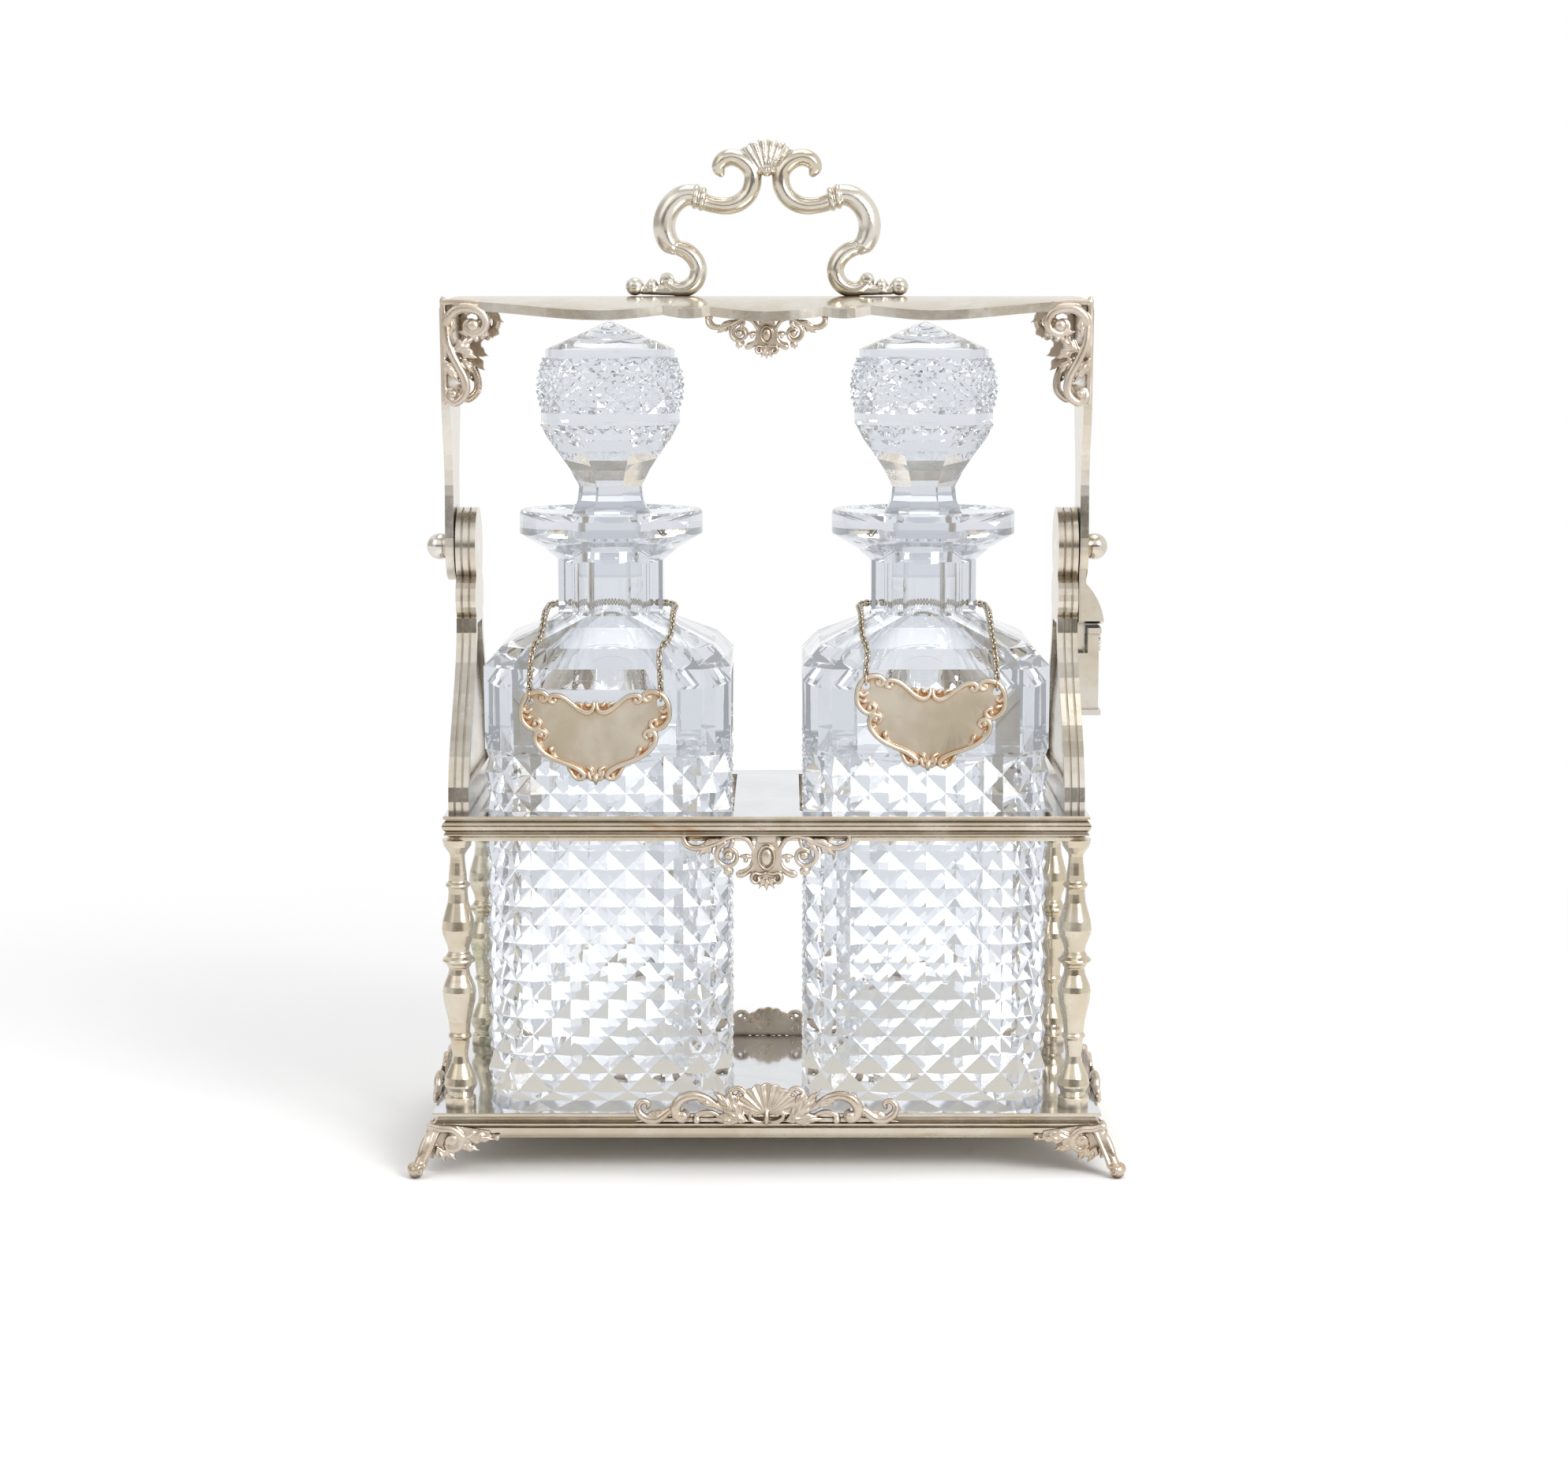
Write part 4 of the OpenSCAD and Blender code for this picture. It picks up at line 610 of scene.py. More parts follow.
def pendant_mesh():
    bm = bmesh.new()
    # Arch from the shield, then the long arm with its leaf and end curl
    tube(bm, smooth([(4.6, -6.6, 0.75), (6.6, -3.4, 0.9), (9.8, -1.9, 1.0), (13.4, -2.6, 1.0), (17.0, -4.4, 1.0),
                     (21.0, -5.8, 1.05), (25.0, -6.2, 1.1), (27.6, -5.0, 1.05), (28.6, -2.9, 0.85)]), 1.0)
    ball(bm, (28.4, -1.6, 1.0), 1.15)
    leaf(bm, (18.2, -4.6), -34, 7.2, 4.4, 2, -0.4, 1.2, 0.5)
    leaf(bm, (15.0, -3.2), -12, 9.0, 2.6, 2, -0.5, 1.0, 1.0)
    # Volute with its eye
    tube(bm, arc((13.1, -9.0), 4.6, 1.9, 75, -330, 0.95, 0.6, 36), 0.95)
    ball(bm, (13.0, -8.9, 1.0), 1.7, (1, 1, 0.9))
    tube(bm, smooth([(5.2, -9.4, 0.5), (7.0, -9.2, 0.9), (8.8, -9.3, 0.5)]), 1.0)
    ball(bm, (7.2, -10.6, 0.8), 0.85)
    tube(bm, smooth([(11.6, -3.0, 0.5), (11.8, -4.6, 0.8), (12.6, -6.6, 0.5)]), 1.0)
    leaf(bm, (13.2, -13.0), -84, 3.6, 3.0, 1, 0, 1.2, 0.5)
    leaf(bm, (13.2, -13.2), -52, 2.8, 2.2, 1, 0, 1.0, 0.5)
    leaf(bm, (13.0, -13.2), -118, 2.8, 2.2, 1, 0, 1.0, 0.5)
    # Flange beside the shield
    tube(bm, smooth([(4.4, -10.6, 0.9), (5.4, -13.2, 1.1), (7.4, -14.8, 1.3), (9.2, -15.4, 1.5)]), 0.62)
    # Scrolls under the boss
    tube(bm, smooth([(0.4, -14.9, 0.55), (2.0, -15.3, 0.6), (4.2, -15.0, 0.7), (5.2, -16.6, 0.75), (4.2, -18.2, 0.7),
                     (2.7, -17.7, 0.6), (3.0, -16.5, 0.5)]), 1.7)
    for a, r in ((-62, 4.6), (-32, 3.6)):
        leaf(bm, (0.6, -16.6), a, r, 1.9, 1, 0, 1.1, 0.6)
    mirrored(bm)
    # Shield
    half = [(3.5, -1.4), (3.9, -2.2), (3.6, -4.4), (4.0, -5.4), (5.1, -7.2), (5.2, -10.4), (4.8, -13.0), (5.4, -15.6),
            (5.2, -17.6), (3.6, -18.8), (0, -19.4)]
    plate(bm, half + [(-u, v) for u, v in reversed(half[:-1])], 0.1, 1.15)
    plate(bm, [(-3.4, -1.2), (-3.2, -4.3), (3.2, -4.3), (3.4, -1.2)], 0.1, 1.7)
    boss_y, frame_w, frame_h = -9.5, 2.75, 3.95
    frame_line = [(frame_w * math.cos(a), boss_y + frame_h * math.sin(a), 0.5) for a in turns(36) + [2 * math.pi]]
    tube(bm, frame_line, 1.9, 0.4)
    ball(bm, (0, boss_y, 1.1), 1.0, (2.1, 3.2, 1.0), 20, 12)
    leaf(bm, (0, -16.8), -90, 4.6, 2.2, 1, 0, 1.2, 0.6)
    return cast(bm, "pendant", 0.17, 2)


# Where the backs of the pendants lie, and how high the tops hang
GALLERY_PENDANT_Y, GALLERY_PENDANT_Z = GALLERY_D / 2 - 3.19, GALLERY_Z + 4
BAIL_PENDANT_Y, BAIL_PENDANT_Z, BAIL_PENDANT_SIZE = 25.85, PLATE_Z - 6.4, 0.72

pendant = pendant_mesh()
for name, turn in (("front", 0), ("rear", 180)):
    m = rot("Z", turn) @ shift(0, -GALLERY_PENDANT_Y, GALLERY_PENDANT_Z) @ STAND
    place(pendant, m, f"gallery_pendant_{name}_cast", "stand", cast_silver, [f"gallery_pendant_{name}"])
    m = rot("Z", turn) @ shift(0, -BAIL_PENDANT_Y, BAIL_PENDANT_Z) @ Matrix.Scale(BAIL_PENDANT_SIZE, 4) @ STAND
    place(pendant, m, f"bail_pendant_{name}_cast", "bail", cast_silver, [f"bail_pendant_{name}"])


# Corner brackets of the bail

def bracket_mesh():
    bm = bmesh.new()
    # Volute
    tube(bm, smooth([(1.6, -9.5, 1.2), (2.6, -5.2, 1.6), (5.6, -2.2, 1.8), (10.0, -1.6, 1.7), (14.2, -3.2, 1.6),
                     (15.8, -6.6, 1.5), (14.2, -9.8, 1.4), (10.8, -10.6, 1.2), (8.6, -8.6, 1.0), (9.2, -6.2, 0.9),
                     (11.2, -5.8, 0.7)]), 0.85)
    ball(bm, (11.4, -7.6, 1.3), 2.3, (1, 1, 0.75))
    leaf(bm, (12.6, -2.2), -46, 7.6, 3.4, 2, 1.0, 1.2, 0.8)
    leaf(bm, (15.2, -8.4), -100, 4.4, 4.0, 2, -0.4, 1.2, 0.4)
    leaf(bm, (6.0, -9.6), -10, 8.0, 2.6, 2, -1.0, 1.1, 0.4)
    leaf(bm, (4.0, -3.0), -92, 9.4, 3.6, 2, 0.4, 1.4, 0.6)
    # Stem down the arm
    tube(bm, smooth([(1.9, -8.0, 1.4), (2.6, -14.0, 1.5), (5.2, -20.0, 1.6), (8.2, -26.0, 1.6), (8.4, -31.0, 1.5),
                     (5.0, -34.2, 1.4), (2.2, -32.2, 1.2), (3.0, -29.6, 1.0), (4.8, -30.4, 0.8)]), 0.85)
    ball(bm, (4.1, -31.2, 1.3), 1.6, (1, 1, 0.8))
    leaf(bm, (1.3, -12.0), -66, 12.6, 4.4, 3, 1.0, 1.5, 0.6)
    leaf(bm, (1.2, -19.0), -62, 10.6, 3.8, 3, 1.0, 1.4, 0.8)
    leaf(bm, (1.4, -6.0), -84, 13.0, 3.0, 3, 0.6, 1.4, 0.4)
    # Middle spray
    leaf(bm, (4.2, -16.6), 30, 9.4, 5.4, 3, 0.8, 1.6, 0.6)
    leaf(bm, (6.6, -16.0), -26, 6.8, 4.4, 2, 0.2, 1.3, 0.5)
    leaf(bm, (7.2, -19.0), -52, 6.6, 4.0, 2, 0.2, 1.2, 0.4)
    ball(bm, (12.4, -12.2, 1.0), 1.1)
    tube(bm, smooth([(1.0, 1.4, 1.1), (1.0, -14.0, 1.1), (1.0, -34.0, 1.0)]), 0.8)
    tube(bm, smooth([(1.0, 0.4, 1.2), (8.0, 0.4, 1.2), (14.0, 0.0, 1.0)]), 0.8)
    return cast(bm, "bracket", 0.2, 2)


CORNERS = [(end, side) for end in ("front", "rear") for side in ("left", "right")]
BRACKET_CORNER = (ARM_X + 2.6, -20.05, PLATE_Z - 2.6)

bracket = bracket_mesh()
for end, side in CORNERS:
    m = mirror(-1 if side == "left" else 1, 1 if end == "front" else -1)
    m = m @ shift(*BRACKET_CORNER) @ mirror(-1) @ STAND
    place(bracket, m, f"bracket_{end}_{side}_cast", "bail", cast_silver, [f"bracket_{end}_{side}"])


# Feet: cabochon leg, toe scroll, and a wing along each side

def foot_mesh():
    bm = bmesh.new()
    corner = shift(TRAY_W / 2, TRAY_D / 2, 0)
    along_y = Matrix(((0, 0, 1, 0), (-1, 0, 0, 0), (0, 1, 0, 0), (0, 0, 0, 1)))
    for m in (corner @ rot("Z", 180) @ STAND, corner @ along_y):
        wing = bmesh.new()
        tube(wing, smooth([(-0.6, 17.2, 1.1), (3.0, 16.2, 1.3), (7.0, 15.9, 1.4), (9.9, 13.6, 1.4), (9.9, 10.4, 1.3),
                           (7.2, 8.8, 1.2), (5.0, 10.2, 1.0), (5.4, 12.4, 0.8)]), 0.85)
        ball(wing, (7.1, 12.2, 1.0), 2.5, (1, 1, 0.75))
        tube(wing, arc((7.1, 12.2), 2.2, 0.6, 210, -140, 0.5, 0.35), 1.0, 1.9, 8)
        leaf(wing, (9.4, 13.6), -6, 13.6, 4.6, 4, 0.4, 1.5, 0.5)
        leaf(wing, (9.4, 11.2), -24, 8.0, 3.8, 3, 0.6, 1.2, 0.4)
        ball(wing, (22.6, 13.1, 0.9), 1.1)
        leaf(wing, (1.6, 10.4), -66, 7.0, 4.2, 2, 0.4, 1.5, 0.5)
        leaf(wing, (4.6, 9.2), -50, 6.0, 3.2, 2, 0.4, 1.3, 0.4)
        leaf(wing, (-0.8, 16.6), -76, 8.0, 3.4, 2, 0.3, 1.2, 0.4)
        plate(wing, [(-1.6, 9.4), (5, 8.4), (9.6, 9.4), (16, 12.6), (21, 12.6), (20, 15.4), (8, 17.2), (-1.6, 17.6)],
              0.0, 0.8)
        bmesh.ops.transform(wing, matrix=m, verts=wing.verts)
        if m.determinant() < 0:
            bmesh.ops.reverse_faces(wing, faces=wing.faces)
        merge(bm, wing)
    # Cabochon leg and the curl of the toe, in the vertical plane through the corner
    leg = bmesh.new()
    tube(leg, smooth([(-4.0, 17.4, 1.4), (-1.4, 15.6, 2.0), (1.4, 11.8, 2.25), (3.9, 7.6, 2.1), (6.0, 4.6, 1.9),
                      (7.4, 3.2, 1.9)]), sides=16, sit=False)
    tube(leg, smooth([(-0.6, 16.0, 0.9), (2.2, 12.6, 1.7), (4.8, 8.4, 1.5), (6.2, 5.9, 0.7)]), 0.9, sides=14, sit=False)
    ball(leg, (7.4, 2.55, 0), 2.75, (0.98, 1.0, 0.92))
    edge = smooth([(-3.6, 17.6, 0.6), (-0.6, 14.6, 0.75), (2.2, 10.2, 0.75), (4.4, 6.4, 0.75), (5.3, 4.4, 0.75)])
    edge += arc((7.3, 2.75), 1.95, 0.6, 150, -200, 0.7, 0.45)
    for edge_w in (-2.25, 2.25):
        tube(leg, [(u, v, edge_w, r) for u, v, r in edge], sides=8, sit=False)
    c = math.sqrt(0.5)
    m = Matrix(((c, 0, -c, TRAY_W / 2), (c, 0, c, TRAY_D / 2), (0, 1, 0, 0), (0, 0, 0, 1)))
    bmesh.ops.transform(leg, matrix=m, verts=leg.verts)
    merge(bm, leg)
    done = cast(bm, "foot", 0.24, 2)
    for v in done.vertices:
        v.co.z = max(v.co.z, 0.0)
    return done


foot = foot_mesh()
for end, side in CORNERS:
    name = f"foot_{end}_{side}"
    m = mirror(-1 if side == "left" else 1, -1 if end == "front" else 1)
    place(foot, m, name + "_cast", "stand", green_silver if name == "foot_rear_right" else cast_silver, [name])


# Handle: two S-shaped halves with collars, curls and beads, and a scallop between them

def handle_mesh():
    bm = bmesh.new()

    def bar(points):
        tube(bm, smooth(points, 10), sides=20, ridge=0.06, sit=False)

    bar([(-16.2, 43.2, 1.7), (-17.0, 45.2, 2.3), (-15.4, 47.6, 2.8), (-12.2, 48.6, 2.9), (-8.4, 47.2, 2.9),
         (-5.4, 43.8, 2.9), (-5.0, 39.6, 3.0), (-6.6, 35.6, 3.0), (-9.8, 32.8, 3.0), (-14.0, 31.6, 2.9),
         (-18.6, 32.0, 2.75), (-22.2, 33.1, 2.9)])
    bar([(-23.6, 34.3, 3.3), (-26.2, 35.5, 3.55), (-30.0, 34.8, 3.7), (-33.4, 32.0, 3.8), (-35.6, 28.0, 3.8),
         (-36.1, 23.6, 3.75), (-35.0, 19.6, 3.6), (-33.4, 17.6, 3.3)])
    bar([(-34.6, 17.0, 1.4), (-31.6, 17.0, 2.5), (-28.0, 15.6, 2.85), (-25.2, 12.6, 2.9), (-24.1, 9.0, 2.9),
         (-25.2, 5.2, 2.9), (-28.2, 2.8, 2.8), (-32.0, 2.6, 2.5), (-35.0, 4.4, 2.3), (-35.8, 6.4, 1.9)])
    # Collar of two rings across the bar
    for c, a, r in (((-22.6, 34.0), 168, 3.4), ((-25.0, 34.9), 172, 3.55)):
        d = Vector((math.cos(math.radians(a)), math.sin(math.radians(a)), 0))
        ring = [(c[0] - d.y * r * math.cos(t), c[1] + d.x * r * math.cos(t), r * math.sin(t), 1.0)
                for t in turns(28) + [2 * math.pi]]
        tube(bm, ring, sides=10, normal=d, sit=False)
    ball(bm, (-35.2, 5.6, 0), 2.7, (1, 1.05, 1.1))
    tube(bm, arc((-35.2, 5.7), 1.9, 0.6, 20, 330, 0.5, 0.4), lift=2.0, sides=8)
    tube(bm, smooth([(-30.0, 2.2, 2.2), (-38.0, 2.2, 1.9), (-44.0, 2.2, 1.7)]), sit=False)
    ball(bm, (-40.5, 3.3, 0), 2.6, (0.85, 1.15, 1))
    ball(bm, (-46.6, 3.4, 0), 3.3)
    mirrored(bm)
    for face in (1, -1):
        fan = bmesh.new()
        shell(fan, (0, 41.2), 13.0, 7, 92, 2.9, 0.4, 16)
        if face < 0:
            bmesh.ops.transform(fan, matrix=rot("Y", 180), verts=fan.verts)
        merge(bm, fan)
    done = cast(bm, "handle", 0.3, 2)
    # Its foot follows the crowned plate
    for v in done.vertices:
        low = math.sqrt(max(CROWN_R ** 2 - v.co.z ** 2, 0)) - CROWN_R
        v.co.y = max(v.co.y, low)
    return done


HANDLE_STRETCH = 0.99

m = shift(0, 0, PLATE_Z) @ Matrix.Diagonal((1, 1, HANDLE_STRETCH, 1)) @ STAND
place(handle_mesh(), m, "handle_cast", "bail", plain_silver, ["handle"])


# Labels

# Each label's middle (x, z) and its tilt in degrees; its holes, seen from its middle
LABEL_PLACES = {"left": (-BOTTLE_X - 3.5, 150.3, 0.0), "right": (BOTTLE_X + 0.7, 155.0, -2.4)}
LABEL_Y, LABEL_T = 45.6, 0.9
LABEL_HOLE_U, LABEL_HOLE_V, LABEL_HOLE_R = 22.6, 13.2, 1.45


def label_mesh():
    bm = bmesh.new()
    half = [(0, 13.3), (6.8, 13.4), (8.6, 13.9), (11.2, 15.6), (14.2, 16.3), (15.9, 15.8), (17.4, 17.1), (19.8, 17.6),
            (22.6, 16.9), (24.8, 14.9), (26.0, 11.8), (26.1, 8.6), (24.6, 5.0), (22.4, 3.3), (21.5, 1.0), (20.8, -1.8),
            (18.6, -4.4), (15.2, -6.6), (10.4, -8.8), (9.0, -11.6), (7.4, -13.8), (4.6, -14.3), (2.0, -14.2),
            (0, -15.8)]
    line = smooth(half, 4)
    line = line[::-1] + [(-u, v) for u, v in line[1:-1]]
    holes = [[(s * LABEL_HOLE_U + LABEL_HOLE_R * math.cos(t), LABEL_HOLE_V + LABEL_HOLE_R * math.sin(t))
              for t in turns(28)] for s in (-1, 1)]

    def strand(points):
        tube(bm, smooth([(u, v, 1.4 * r) for u, v, r in points], 6), lift=0.25, sides=8)

    # Top scroll, and the sprig over it
    strand([(0.55, 13.0, 0.4), (0.55, 11.8, 0.5), (1.2, 10.3, 0.65), (3.1, 9.7, 0.75), (5.8, 10.9, 0.65),
            (8.5, 13.1, 0.6), (11.1, 15.0, 0.62), (13.8, 15.7, 0.65), (15.3, 15.2, 0.65), (15.5, 13.6, 0.6),
            (14.2, 12.9, 0.5)])
    ball(bm, (13.8, 13.9, 1.0), 0.95, (1, 1, 0.7))
    strand([(6.4, 13.0, 0.35), (5.0, 12.5, 0.5), (4.4, 11.6, 0.4)])
    strand([(3.4, 13.0, 0.35), (2.6, 12.2, 0.55), (1.8, 11.8, 0.35)])
    # Corner scroll round the hole
    strand([(18.9, 15.6, 0.35), (19.0, 14.3, 0.45), (17.8, 13.6, 0.55), (16.8, 14.3, 0.6), (16.6, 15.6, 0.62),
            (17.8, 16.6, 0.65), (19.6, 16.9, 0.68), (21.6, 16.5, 0.7), (23.7, 15.1, 0.7), (25.0, 13.0, 0.68),
            (25.5, 10.4, 0.66), (25.3, 7.6, 0.66), (23.8, 5.2, 0.68), (21.7, 3.9, 0.66), (19.8, 4.3, 0.62),
            (19.0, 5.8, 0.58), (20.1, 7.0, 0.5), (21.2, 6.9, 0.4)])
    ball(bm, (18.1, 15.0, 1.0), 0.85, (1, 1, 0.7))
    ball(bm, (21.1, 5.6, 1.0), 0.95, (1, 1, 0.7))
    strand([(25.0, 12.6, 0.45), (24.8, 11.0, 0.5), (23.6, 9.9, 0.55), (22.3, 10.5, 0.45)])
    strand([(24.8, 9.0, 0.35), (24.0, 8.2, 0.5), (22.8, 7.9, 0.65)])
    # Side scroll that runs down to the foot
    strand([(17.8, 0.4, 0.45), (16.9, 1.8, 0.55), (17.8, 3.2, 0.6), (19.8, 3.2, 0.65), (20.8, 1.4, 0.68),
            (20.3, -1.2, 0.68), (18.4, -3.7, 0.68), (15.6, -5.8, 0.65), (12.4, -7.3, 0.65), (8.6, -8.7, 0.68),
            (5.7, -10.2, 0.72), (4.0, -11.9, 0.7), (4.7, -13.4, 0.62), (6.5, -13.1, 0.5)])
    ball(bm, (18.9, 1.8, 1.0), 1.15, (1, 1, 0.7))
    ball(bm, (5.9, -12.1, 1.0), 0.8, (1, 1, 0.7))
    strand([(19.2, -0.9, 0.5), (18.4, -2.6, 0.4)])
    strand([(15.3, -3.1, 0.75), (14.9, -4.4, 0.5), (13.6, -6.2, 0.4)])
    strand([(9.6, -9.4, 0.35), (8.6, -10.9, 0.55), (7.6, -12.5, 0.55), (5.9, -13.9, 0.45)])
    # Foot leaf
    strand([(2.8, -9.6, 0.4), (1.6, -10.2, 0.55), (1.1, -12.2, 0.5)])
    strand([(2.6, -11.2, 0.45), (2.0, -13.2, 0.55), (0.8, -14.0, 0.4)])
    mirrored(bm)
    plate(bm, inset(line, 0.55), 0.0, LABEL_T, holes)
    strand([(0, -11.6, 0.45), (0, -13.3, 0.85), (0, -15.0, 0.45)])
    return cast(bm, "label", 0.15, 1, 0.3)


LABEL_BACK = 0.6

label = label_mesh()
for side, (x, z, tilt) in LABEL_PLACES.items():
    m = shift(x, LABEL_BACK - LABEL_Y, z) @ rot("Y", -tilt) @ STAND
    place(label, m, f"label_{side}_plate", f"label_{side}", label_silver, [f"label_{side}"])


# Chains of oval links, on the route that the solids follow

LINK_LONG, LINK_WIDE, WIRE_R = 3.7, 2.6, 0.42
RING_WIDE_R, RING_HIGH_R, RING_WIRE_R, RING_RISE = 1.75, 1.95, 0.38, 2.3
CHAIN_FROM_HOLE = 4.45
CHAIN_LOOP_R, CHAIN_LOOP_Z = NECK_FLAT / math.cos(math.radians(22.5)) + 3, NECK_Z + 1.8


def hole_at(side, s):
    """Where a label's left (s = -1) or right hole is."""
    x, z, tilt = LABEL_PLACES[side]
    a = math.radians(tilt)
    u, v = s * LABEL_HOLE_U, LABEL_HOLE_V
    return Vector((x + u * math.cos(a) - v * math.sin(a), -LABEL_Y, z + u * math.sin(a) + v * math.cos(a)))


def chain_controls(side):
    """The chain's route as (place, outward direction): up from one hole, round the neck and down to the other."""
    axis = -BOTTLE_X if side == "left" else BOTTLE_X

    def rise(s):
        h = hole_at(side, s)
        z = h.z + CHAIN_FROM_HOLE
        return [((h.x, h.y, z), (0, -1, 0)),
                ((h.x - s * 0.2, h.y + 0.2, max(BOTTLE_WALL_TOP - 1, z + 2)), (0, -1, 0)),
                ((h.x - s * 0.8, h.y + 1.4, BOTTLE_WALL_TOP + 7), (0, -0.8, 0.6)),
                ((axis + s * 22.6, -34, BOTTLE_WALL_TOP + 10.6), (s * 0.1, -0.5, 0.86)),
                ((axis + s * 22.4, -22, CHAIN_LOOP_Z - 0.8), (s * 0.2, -0.3, 0.93))]

    loop = []
    for deg in range(190, -11, -20):
        c, n = math.cos(math.radians(deg)), math.sin(math.radians(deg))
        loop.append(((axis + CHAIN_LOOP_R * c, CHAIN_LOOP_R * n, CHAIN_LOOP_Z), (0.8 * c, 0.8 * n, 0.6)))
    return [(Vector(p), Vector(n)) for p, n in rise(-1) + loop + rise(1)[::-1]]


def chain_run(controls, n=10):
    """Smooth run through the middles of the control line."""
    run = []
    last = len(controls) - 1
    for i in range(1, last):
        before, here, after = controls[i - 1:i + 2]
        a = before if i == 1 else [(p + q) / 2 for p, q in zip(before, here)]
        d = after if i == last - 1 else [(p + q) / 2 for p, q in zip(here, after)]
        for j in range(n):
            t = j / n
            run.append([p * (1 - t) ** 2 + q * 2 * t * (1 - t) + r * t * t for p, q, r in zip(a, here, d)])
    run.append(controls[last])
    return run


def link(bm, p, x, y, z):
    """Oval link at p, its length along x and its width along y."""
    straight, bend = (LINK_LONG - LINK_WIDE) / 2, LINK_WIDE / 2 - WIRE_R
    rings = []
    for a in turns(24):
        middle = p + x * (bend * math.cos(a) + math.copysign(straight, math.cos(a))) + y * bend * math.sin(a)
        out = x * math.cos(a) + y * math.sin(a)
        rings.append([bm.verts.new(middle + (out * math.cos(b) + z * math.sin(b)) * WIRE_R) for b in turns(8)])
    for a, b in zip(rings, rings[1:] + rings[:1]):
        for e in range(8):
            bm.faces.new((a[e], b[e], b[(e + 1) % 8], a[(e + 1) % 8]))


def chain_mesh(side):
    run = chain_run(chain_controls(side))
    along = [0.0]
    for (p, _), (q, _) in zip(run, run[1:]):
        along.append(along[-1] + (q - p).length)
    # Each link reaches through the next, with a little play
    count = math.ceil(along[-1] / (LINK_LONG - 4 * WIRE_R * 0.93))
    bm = bmesh.new()
    for i in range(count + 1):
        s = min(i * along[-1] / count, along[-1] - 1e-4)
        k = max(j for j in range(len(run) - 1) if along[j] <= s)
        t = (s - along[k]) / (along[k + 1] - along[k])
        (p, p_out), (q, q_out) = run[k], run[k + 1]
        x = (q - p).normalized()
        y = p_out.lerp(q_out, t).cross(x).normalized()
        # Links lie half turned, one to each side
        turn = Matrix.Rotation(math.radians(45 if i % 2 == 0 else -45), 3, x)
        link(bm, p.lerp(q, t), x, turn @ y, turn @ x.cross(y))
    bmesh.ops.recalc_face_normals(bm, faces=bm.faces)
    return rounded(to_mesh(bm, f"chain_{side}"))


def rings_mesh(side):
    """The two wire rings that hang a label from its chain."""
    bm = bmesh.new()
    for s in (-1, 1):
        h = hole_at(side, s)
        line = [(0.0, RING_WIDE_R * math.cos(a), RING_HIGH_R * math.sin(a), RING_WIRE_R)
                for a in turns(32) + [2 * math.pi]]
        ring = bmesh.new()
        tube(ring, line, sides=10, normal=(1, 0, 0), sit=False)
        bmesh.ops.transform(ring, matrix=shift(h.x, h.y, h.z + RING_RISE), verts=ring.verts)
        merge(bm, ring)
    return rounded(to_mesh(bm, f"rings_{side}"))


for side in ("left", "right"):
    place(chain_mesh(side), Matrix.Identity(4), f"chain_{side}_links", f"decanter_{side}", chain_silver,
          [f"chain_{side}"])
    place(rings_mesh(side), Matrix.Identity(4), f"label_rings_{side}_wire", f"label_{side}", chain_silver,
          [f"label_rings_{side}"])


# Floor, light and camera

WHITE = (1.0, 1.0, 1.0)
FLOOR_TONE, FLOOR_GLOW, FLOOR_SHADE_REACH = 0.90, 0.27, 0.035
FLOOR_FADE_FROM, FLOOR_FADE_TO, FLOOR_HALF = 0.22, 0.62, 30
ROOM_DARK = (0.20, 0.19, 0.18)
THROUGH_GLASS, GLASS_DARK, GLASS_DARK_SHARE = (0.73, 0.75, 0.79), (0.36, 0.37, 0.40), 0.6
SKY_LEVEL = 0.50


def floor_material():
    """Pale floor that keeps the shadow close to the object, partly cast by the lamps and partly painted, and is plain
    white farther out.
    """
    mat, tree, bsdf = new_material("floor_white")
    tree.nodes.remove(bsdf)
    diffuse = tree.nodes.new("ShaderNodeBsdfDiffuse")
    diffuse.inputs["Color"].default_value = (FLOOR_TONE, FLOOR_TONE, FLOOR_TONE, 1)
    # A faint glow lifts the floor to white; ambient occlusion dims it under and beside the object, a painted shadow
    painted_shadow_ao = tree.nodes.new("ShaderNodeAmbientOcclusion")
    painted_shadow_ao.samples = 8
    painted_shadow_ao.inputs["Distance"].default_value = FLOOR_SHADE_REACH
    lift = ramp(tree, painted_shadow_ao.outputs["AO"], 0.15, 0.95, 0.0, FLOOR_GLOW)
    glow = emission(tree, WHITE)
    tree.links.new(maths(tree, "MULTIPLY", seen_directly(tree), lift), glow.node.inputs["Strength"])
    both = tree.nodes.new("ShaderNodeAddShader")
    tree.links.new(diffuse.outputs[0], both.inputs[0])
    tree.links.new(glow, both.inputs[1])
    # Farther out it is white, and a little darker when seen through the glass
    coords = tree.nodes.new("ShaderNodeTexCoord")
    reach = tree.nodes.new("ShaderNodeVectorMath")
    reach.operation = "LENGTH"
    tree.links.new(coords.outputs["Object"], reach.inputs[0])
    plain = emission(tree, WHITE)
    tree.links.new(mix(tree, through_glass(tree), WHITE, THROUGH_GLASS), plain.node.inputs["Color"])
    far = ramp(tree, reach.outputs["Value"], FLOOR_FADE_FROM, FLOOR_FADE_TO)
    show(tree, blend(tree, far, both.outputs[0], plain))
    return mat


bm = bmesh.new()
bmesh.ops.create_grid(bm, x_segments=2, y_segments=2, size=FLOOR_HALF)
floor = bpy.data.objects.new("floor", to_mesh(bm, "floor"))
floor.data.materials.append(floor_material())
bpy.context.scene.collection.objects.link(floor)


def background(tree, colour, level=1.0):
    """Backdrop of one colour, a tuple or a socket."""
    node = tree.nodes.new("ShaderNodeBackground")
    node.inputs["Strength"].default_value = level
    if isinstance(colour, tuple):
        node.inputs["Color"].default_value = (*colour, 1)
    else:
        tree.links.new(colour, node.inputs["Color"])
    return node.outputs[0]


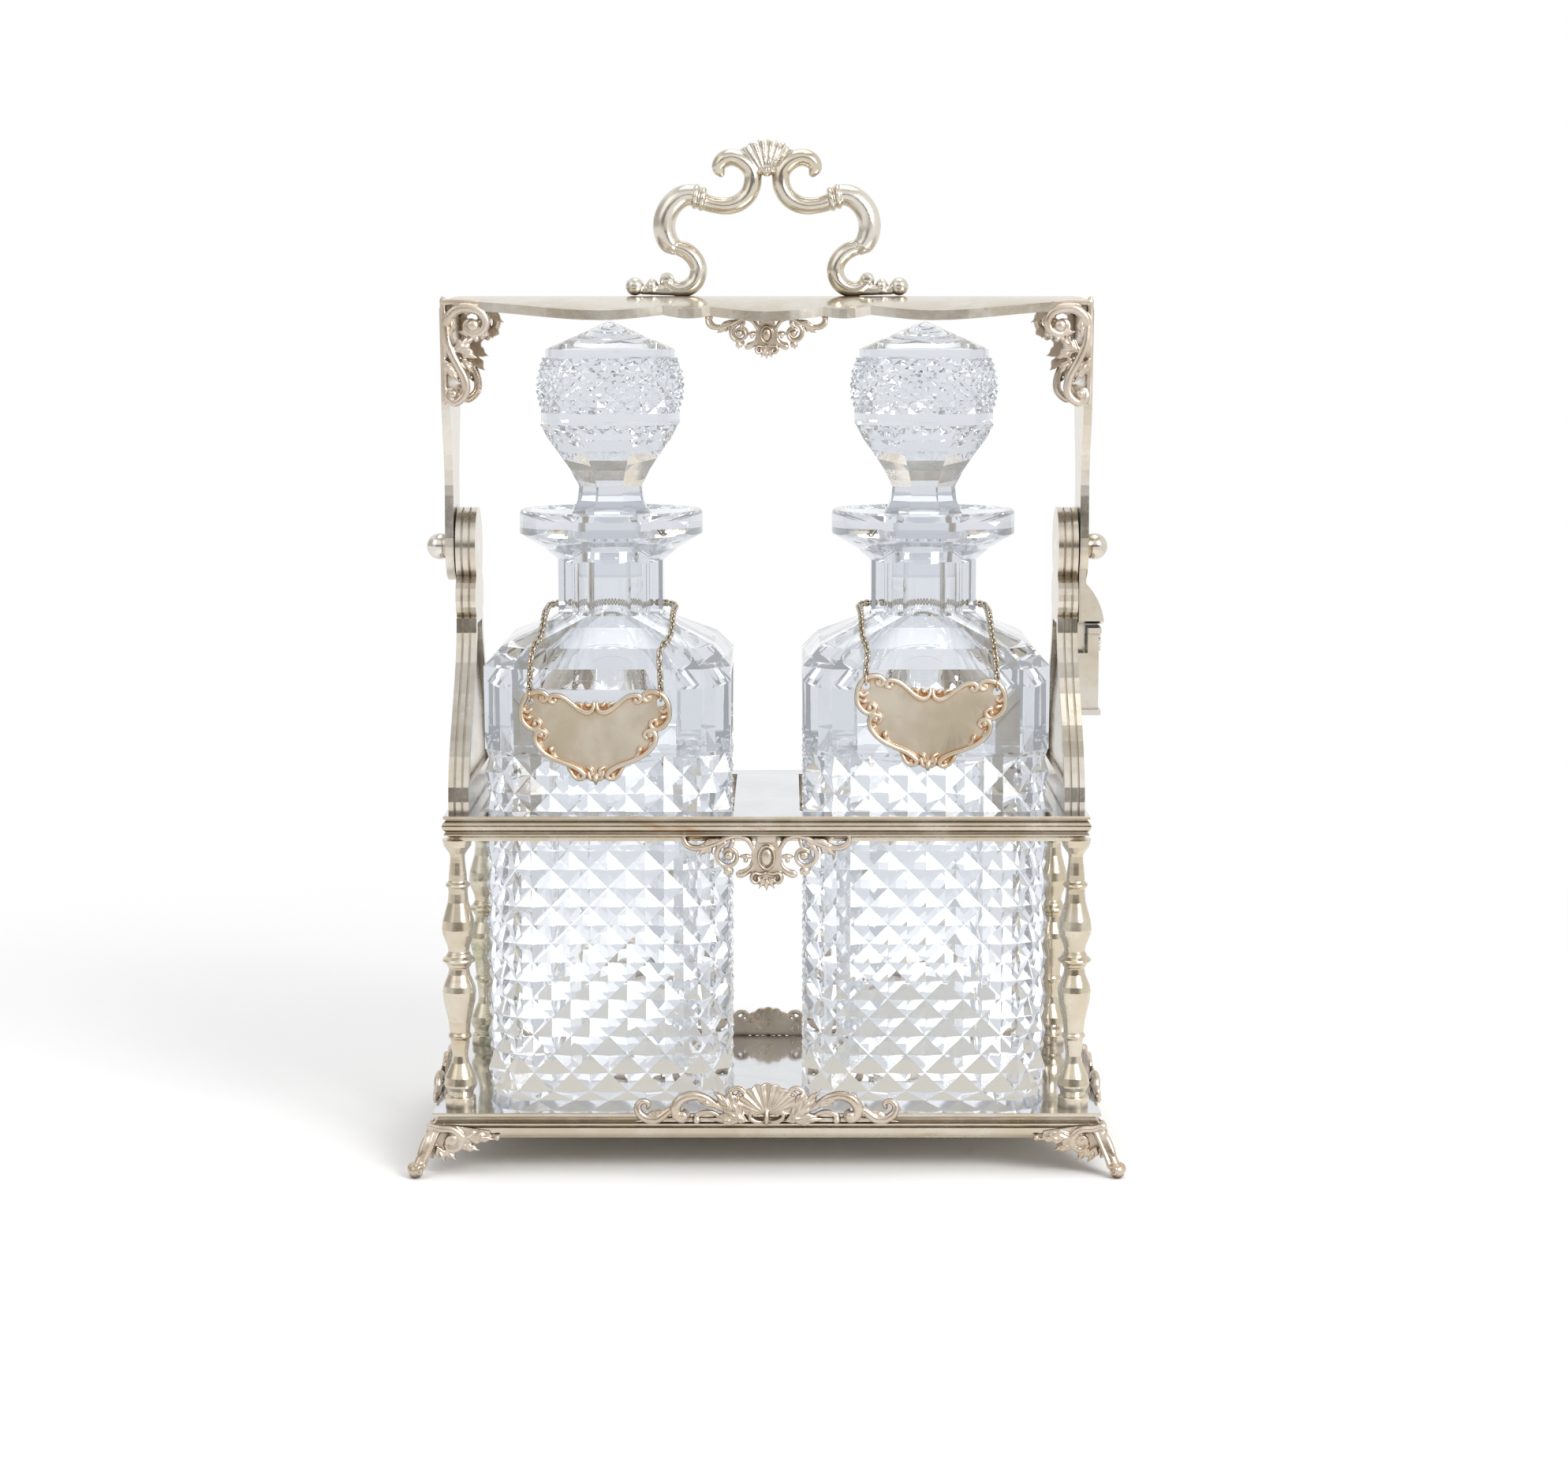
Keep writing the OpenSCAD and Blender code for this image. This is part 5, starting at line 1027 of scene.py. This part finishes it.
world = bpy.data.worlds.new("studio")
bpy.context.scene.world = world
world.use_nodes = True
tree = world.node_tree
tree.nodes.clear()
path = tree.nodes.new("ShaderNodeLightPath")
coords = tree.nodes.new("ShaderNodeTexCoord")
split = tree.nodes.new("ShaderNodeSeparateXYZ")
tree.links.new(coords.outputs["Generated"], split.inputs[0])
# The room that metal mirrors: white walls, a dark gap behind the camera, a dim ceiling and one grey side
front = ramp(tree, split.outputs["Y"], -0.60, -0.92)
low = ramp(tree, split.outputs["Z"], 0.45, 0.12)
over = ramp(tree, split.outputs["Z"], 0.72, 0.95, 0.0, 0.45)
left = maths(tree, "MULTIPLY", ramp(tree, split.outputs["X"], -0.62, -0.86), 0.55)
dark = maths(tree, "ADD", maths(tree, "ADD", maths(tree, "MULTIPLY", front, low), over), left)
mirrored_room = background(tree, mix(tree, dark, WHITE, ROOM_DARK))
# What is seen through the glass is the same room, much paler and a little blue
shade = maths(tree, "MULTIPLY", dark, GLASS_DARK_SHARE)
room_through_glass = background(tree, mix(tree, shade, THROUGH_GLASS, GLASS_DARK))
# Any ray that has been through glass sees the pale room, even after it has met metal
stack = background(tree, WHITE, SKY_LEVEL)
for ray, shader in ((path.outputs["Is Glossy Ray"], mirrored_room), (through_glass(tree), room_through_glass),
                    (path.outputs["Is Camera Ray"], background(tree, WHITE))):
    stack = blend(tree, ray, stack, shader)
out = tree.nodes.new("ShaderNodeOutputWorld")
tree.links.new(stack, out.inputs["Surface"])


def lamp(name, place_at, target, size, power):
    """Square soft lamp, turned to its target."""
    data = bpy.data.lights.new(name, "AREA")
    data.size = size
    data.energy = power
    ob = bpy.data.objects.new(name, data)
    ob.location = place_at
    ob.rotation_euler = (Vector(target) - Vector(place_at)).to_track_quat("-Z", "Y").to_euler()
    bpy.context.scene.collection.objects.link(ob)


lamp("key", (0.95, -1.05, 0.95), (0, 0, 0.12), 0.7, 17.0)
lamp("fill", (-1.3, -0.9, 1.2), (0, 0, 0.15), 1.2, 2.5)
lamp("top", (0.1, 0.2, 1.6), (0, 0, 0.1), 1.0, 4.0)

# The camera that fits the photograph
CAMERA_AT, CAMERA_TILT, CAMERA_LENS = (0.006, -1.108, 0.299), 82.2, 71.44

camera_data = bpy.data.cameras.new("camera")
camera_data.lens = CAMERA_LENS
camera = bpy.data.objects.new("camera", camera_data)
camera.location = CAMERA_AT
camera.rotation_euler = (math.radians(CAMERA_TILT), 0, 0)
bpy.context.scene.collection.objects.link(camera)
bpy.context.scene.camera = camera
bpy.context.scene.view_settings.view_transform = "Standard"
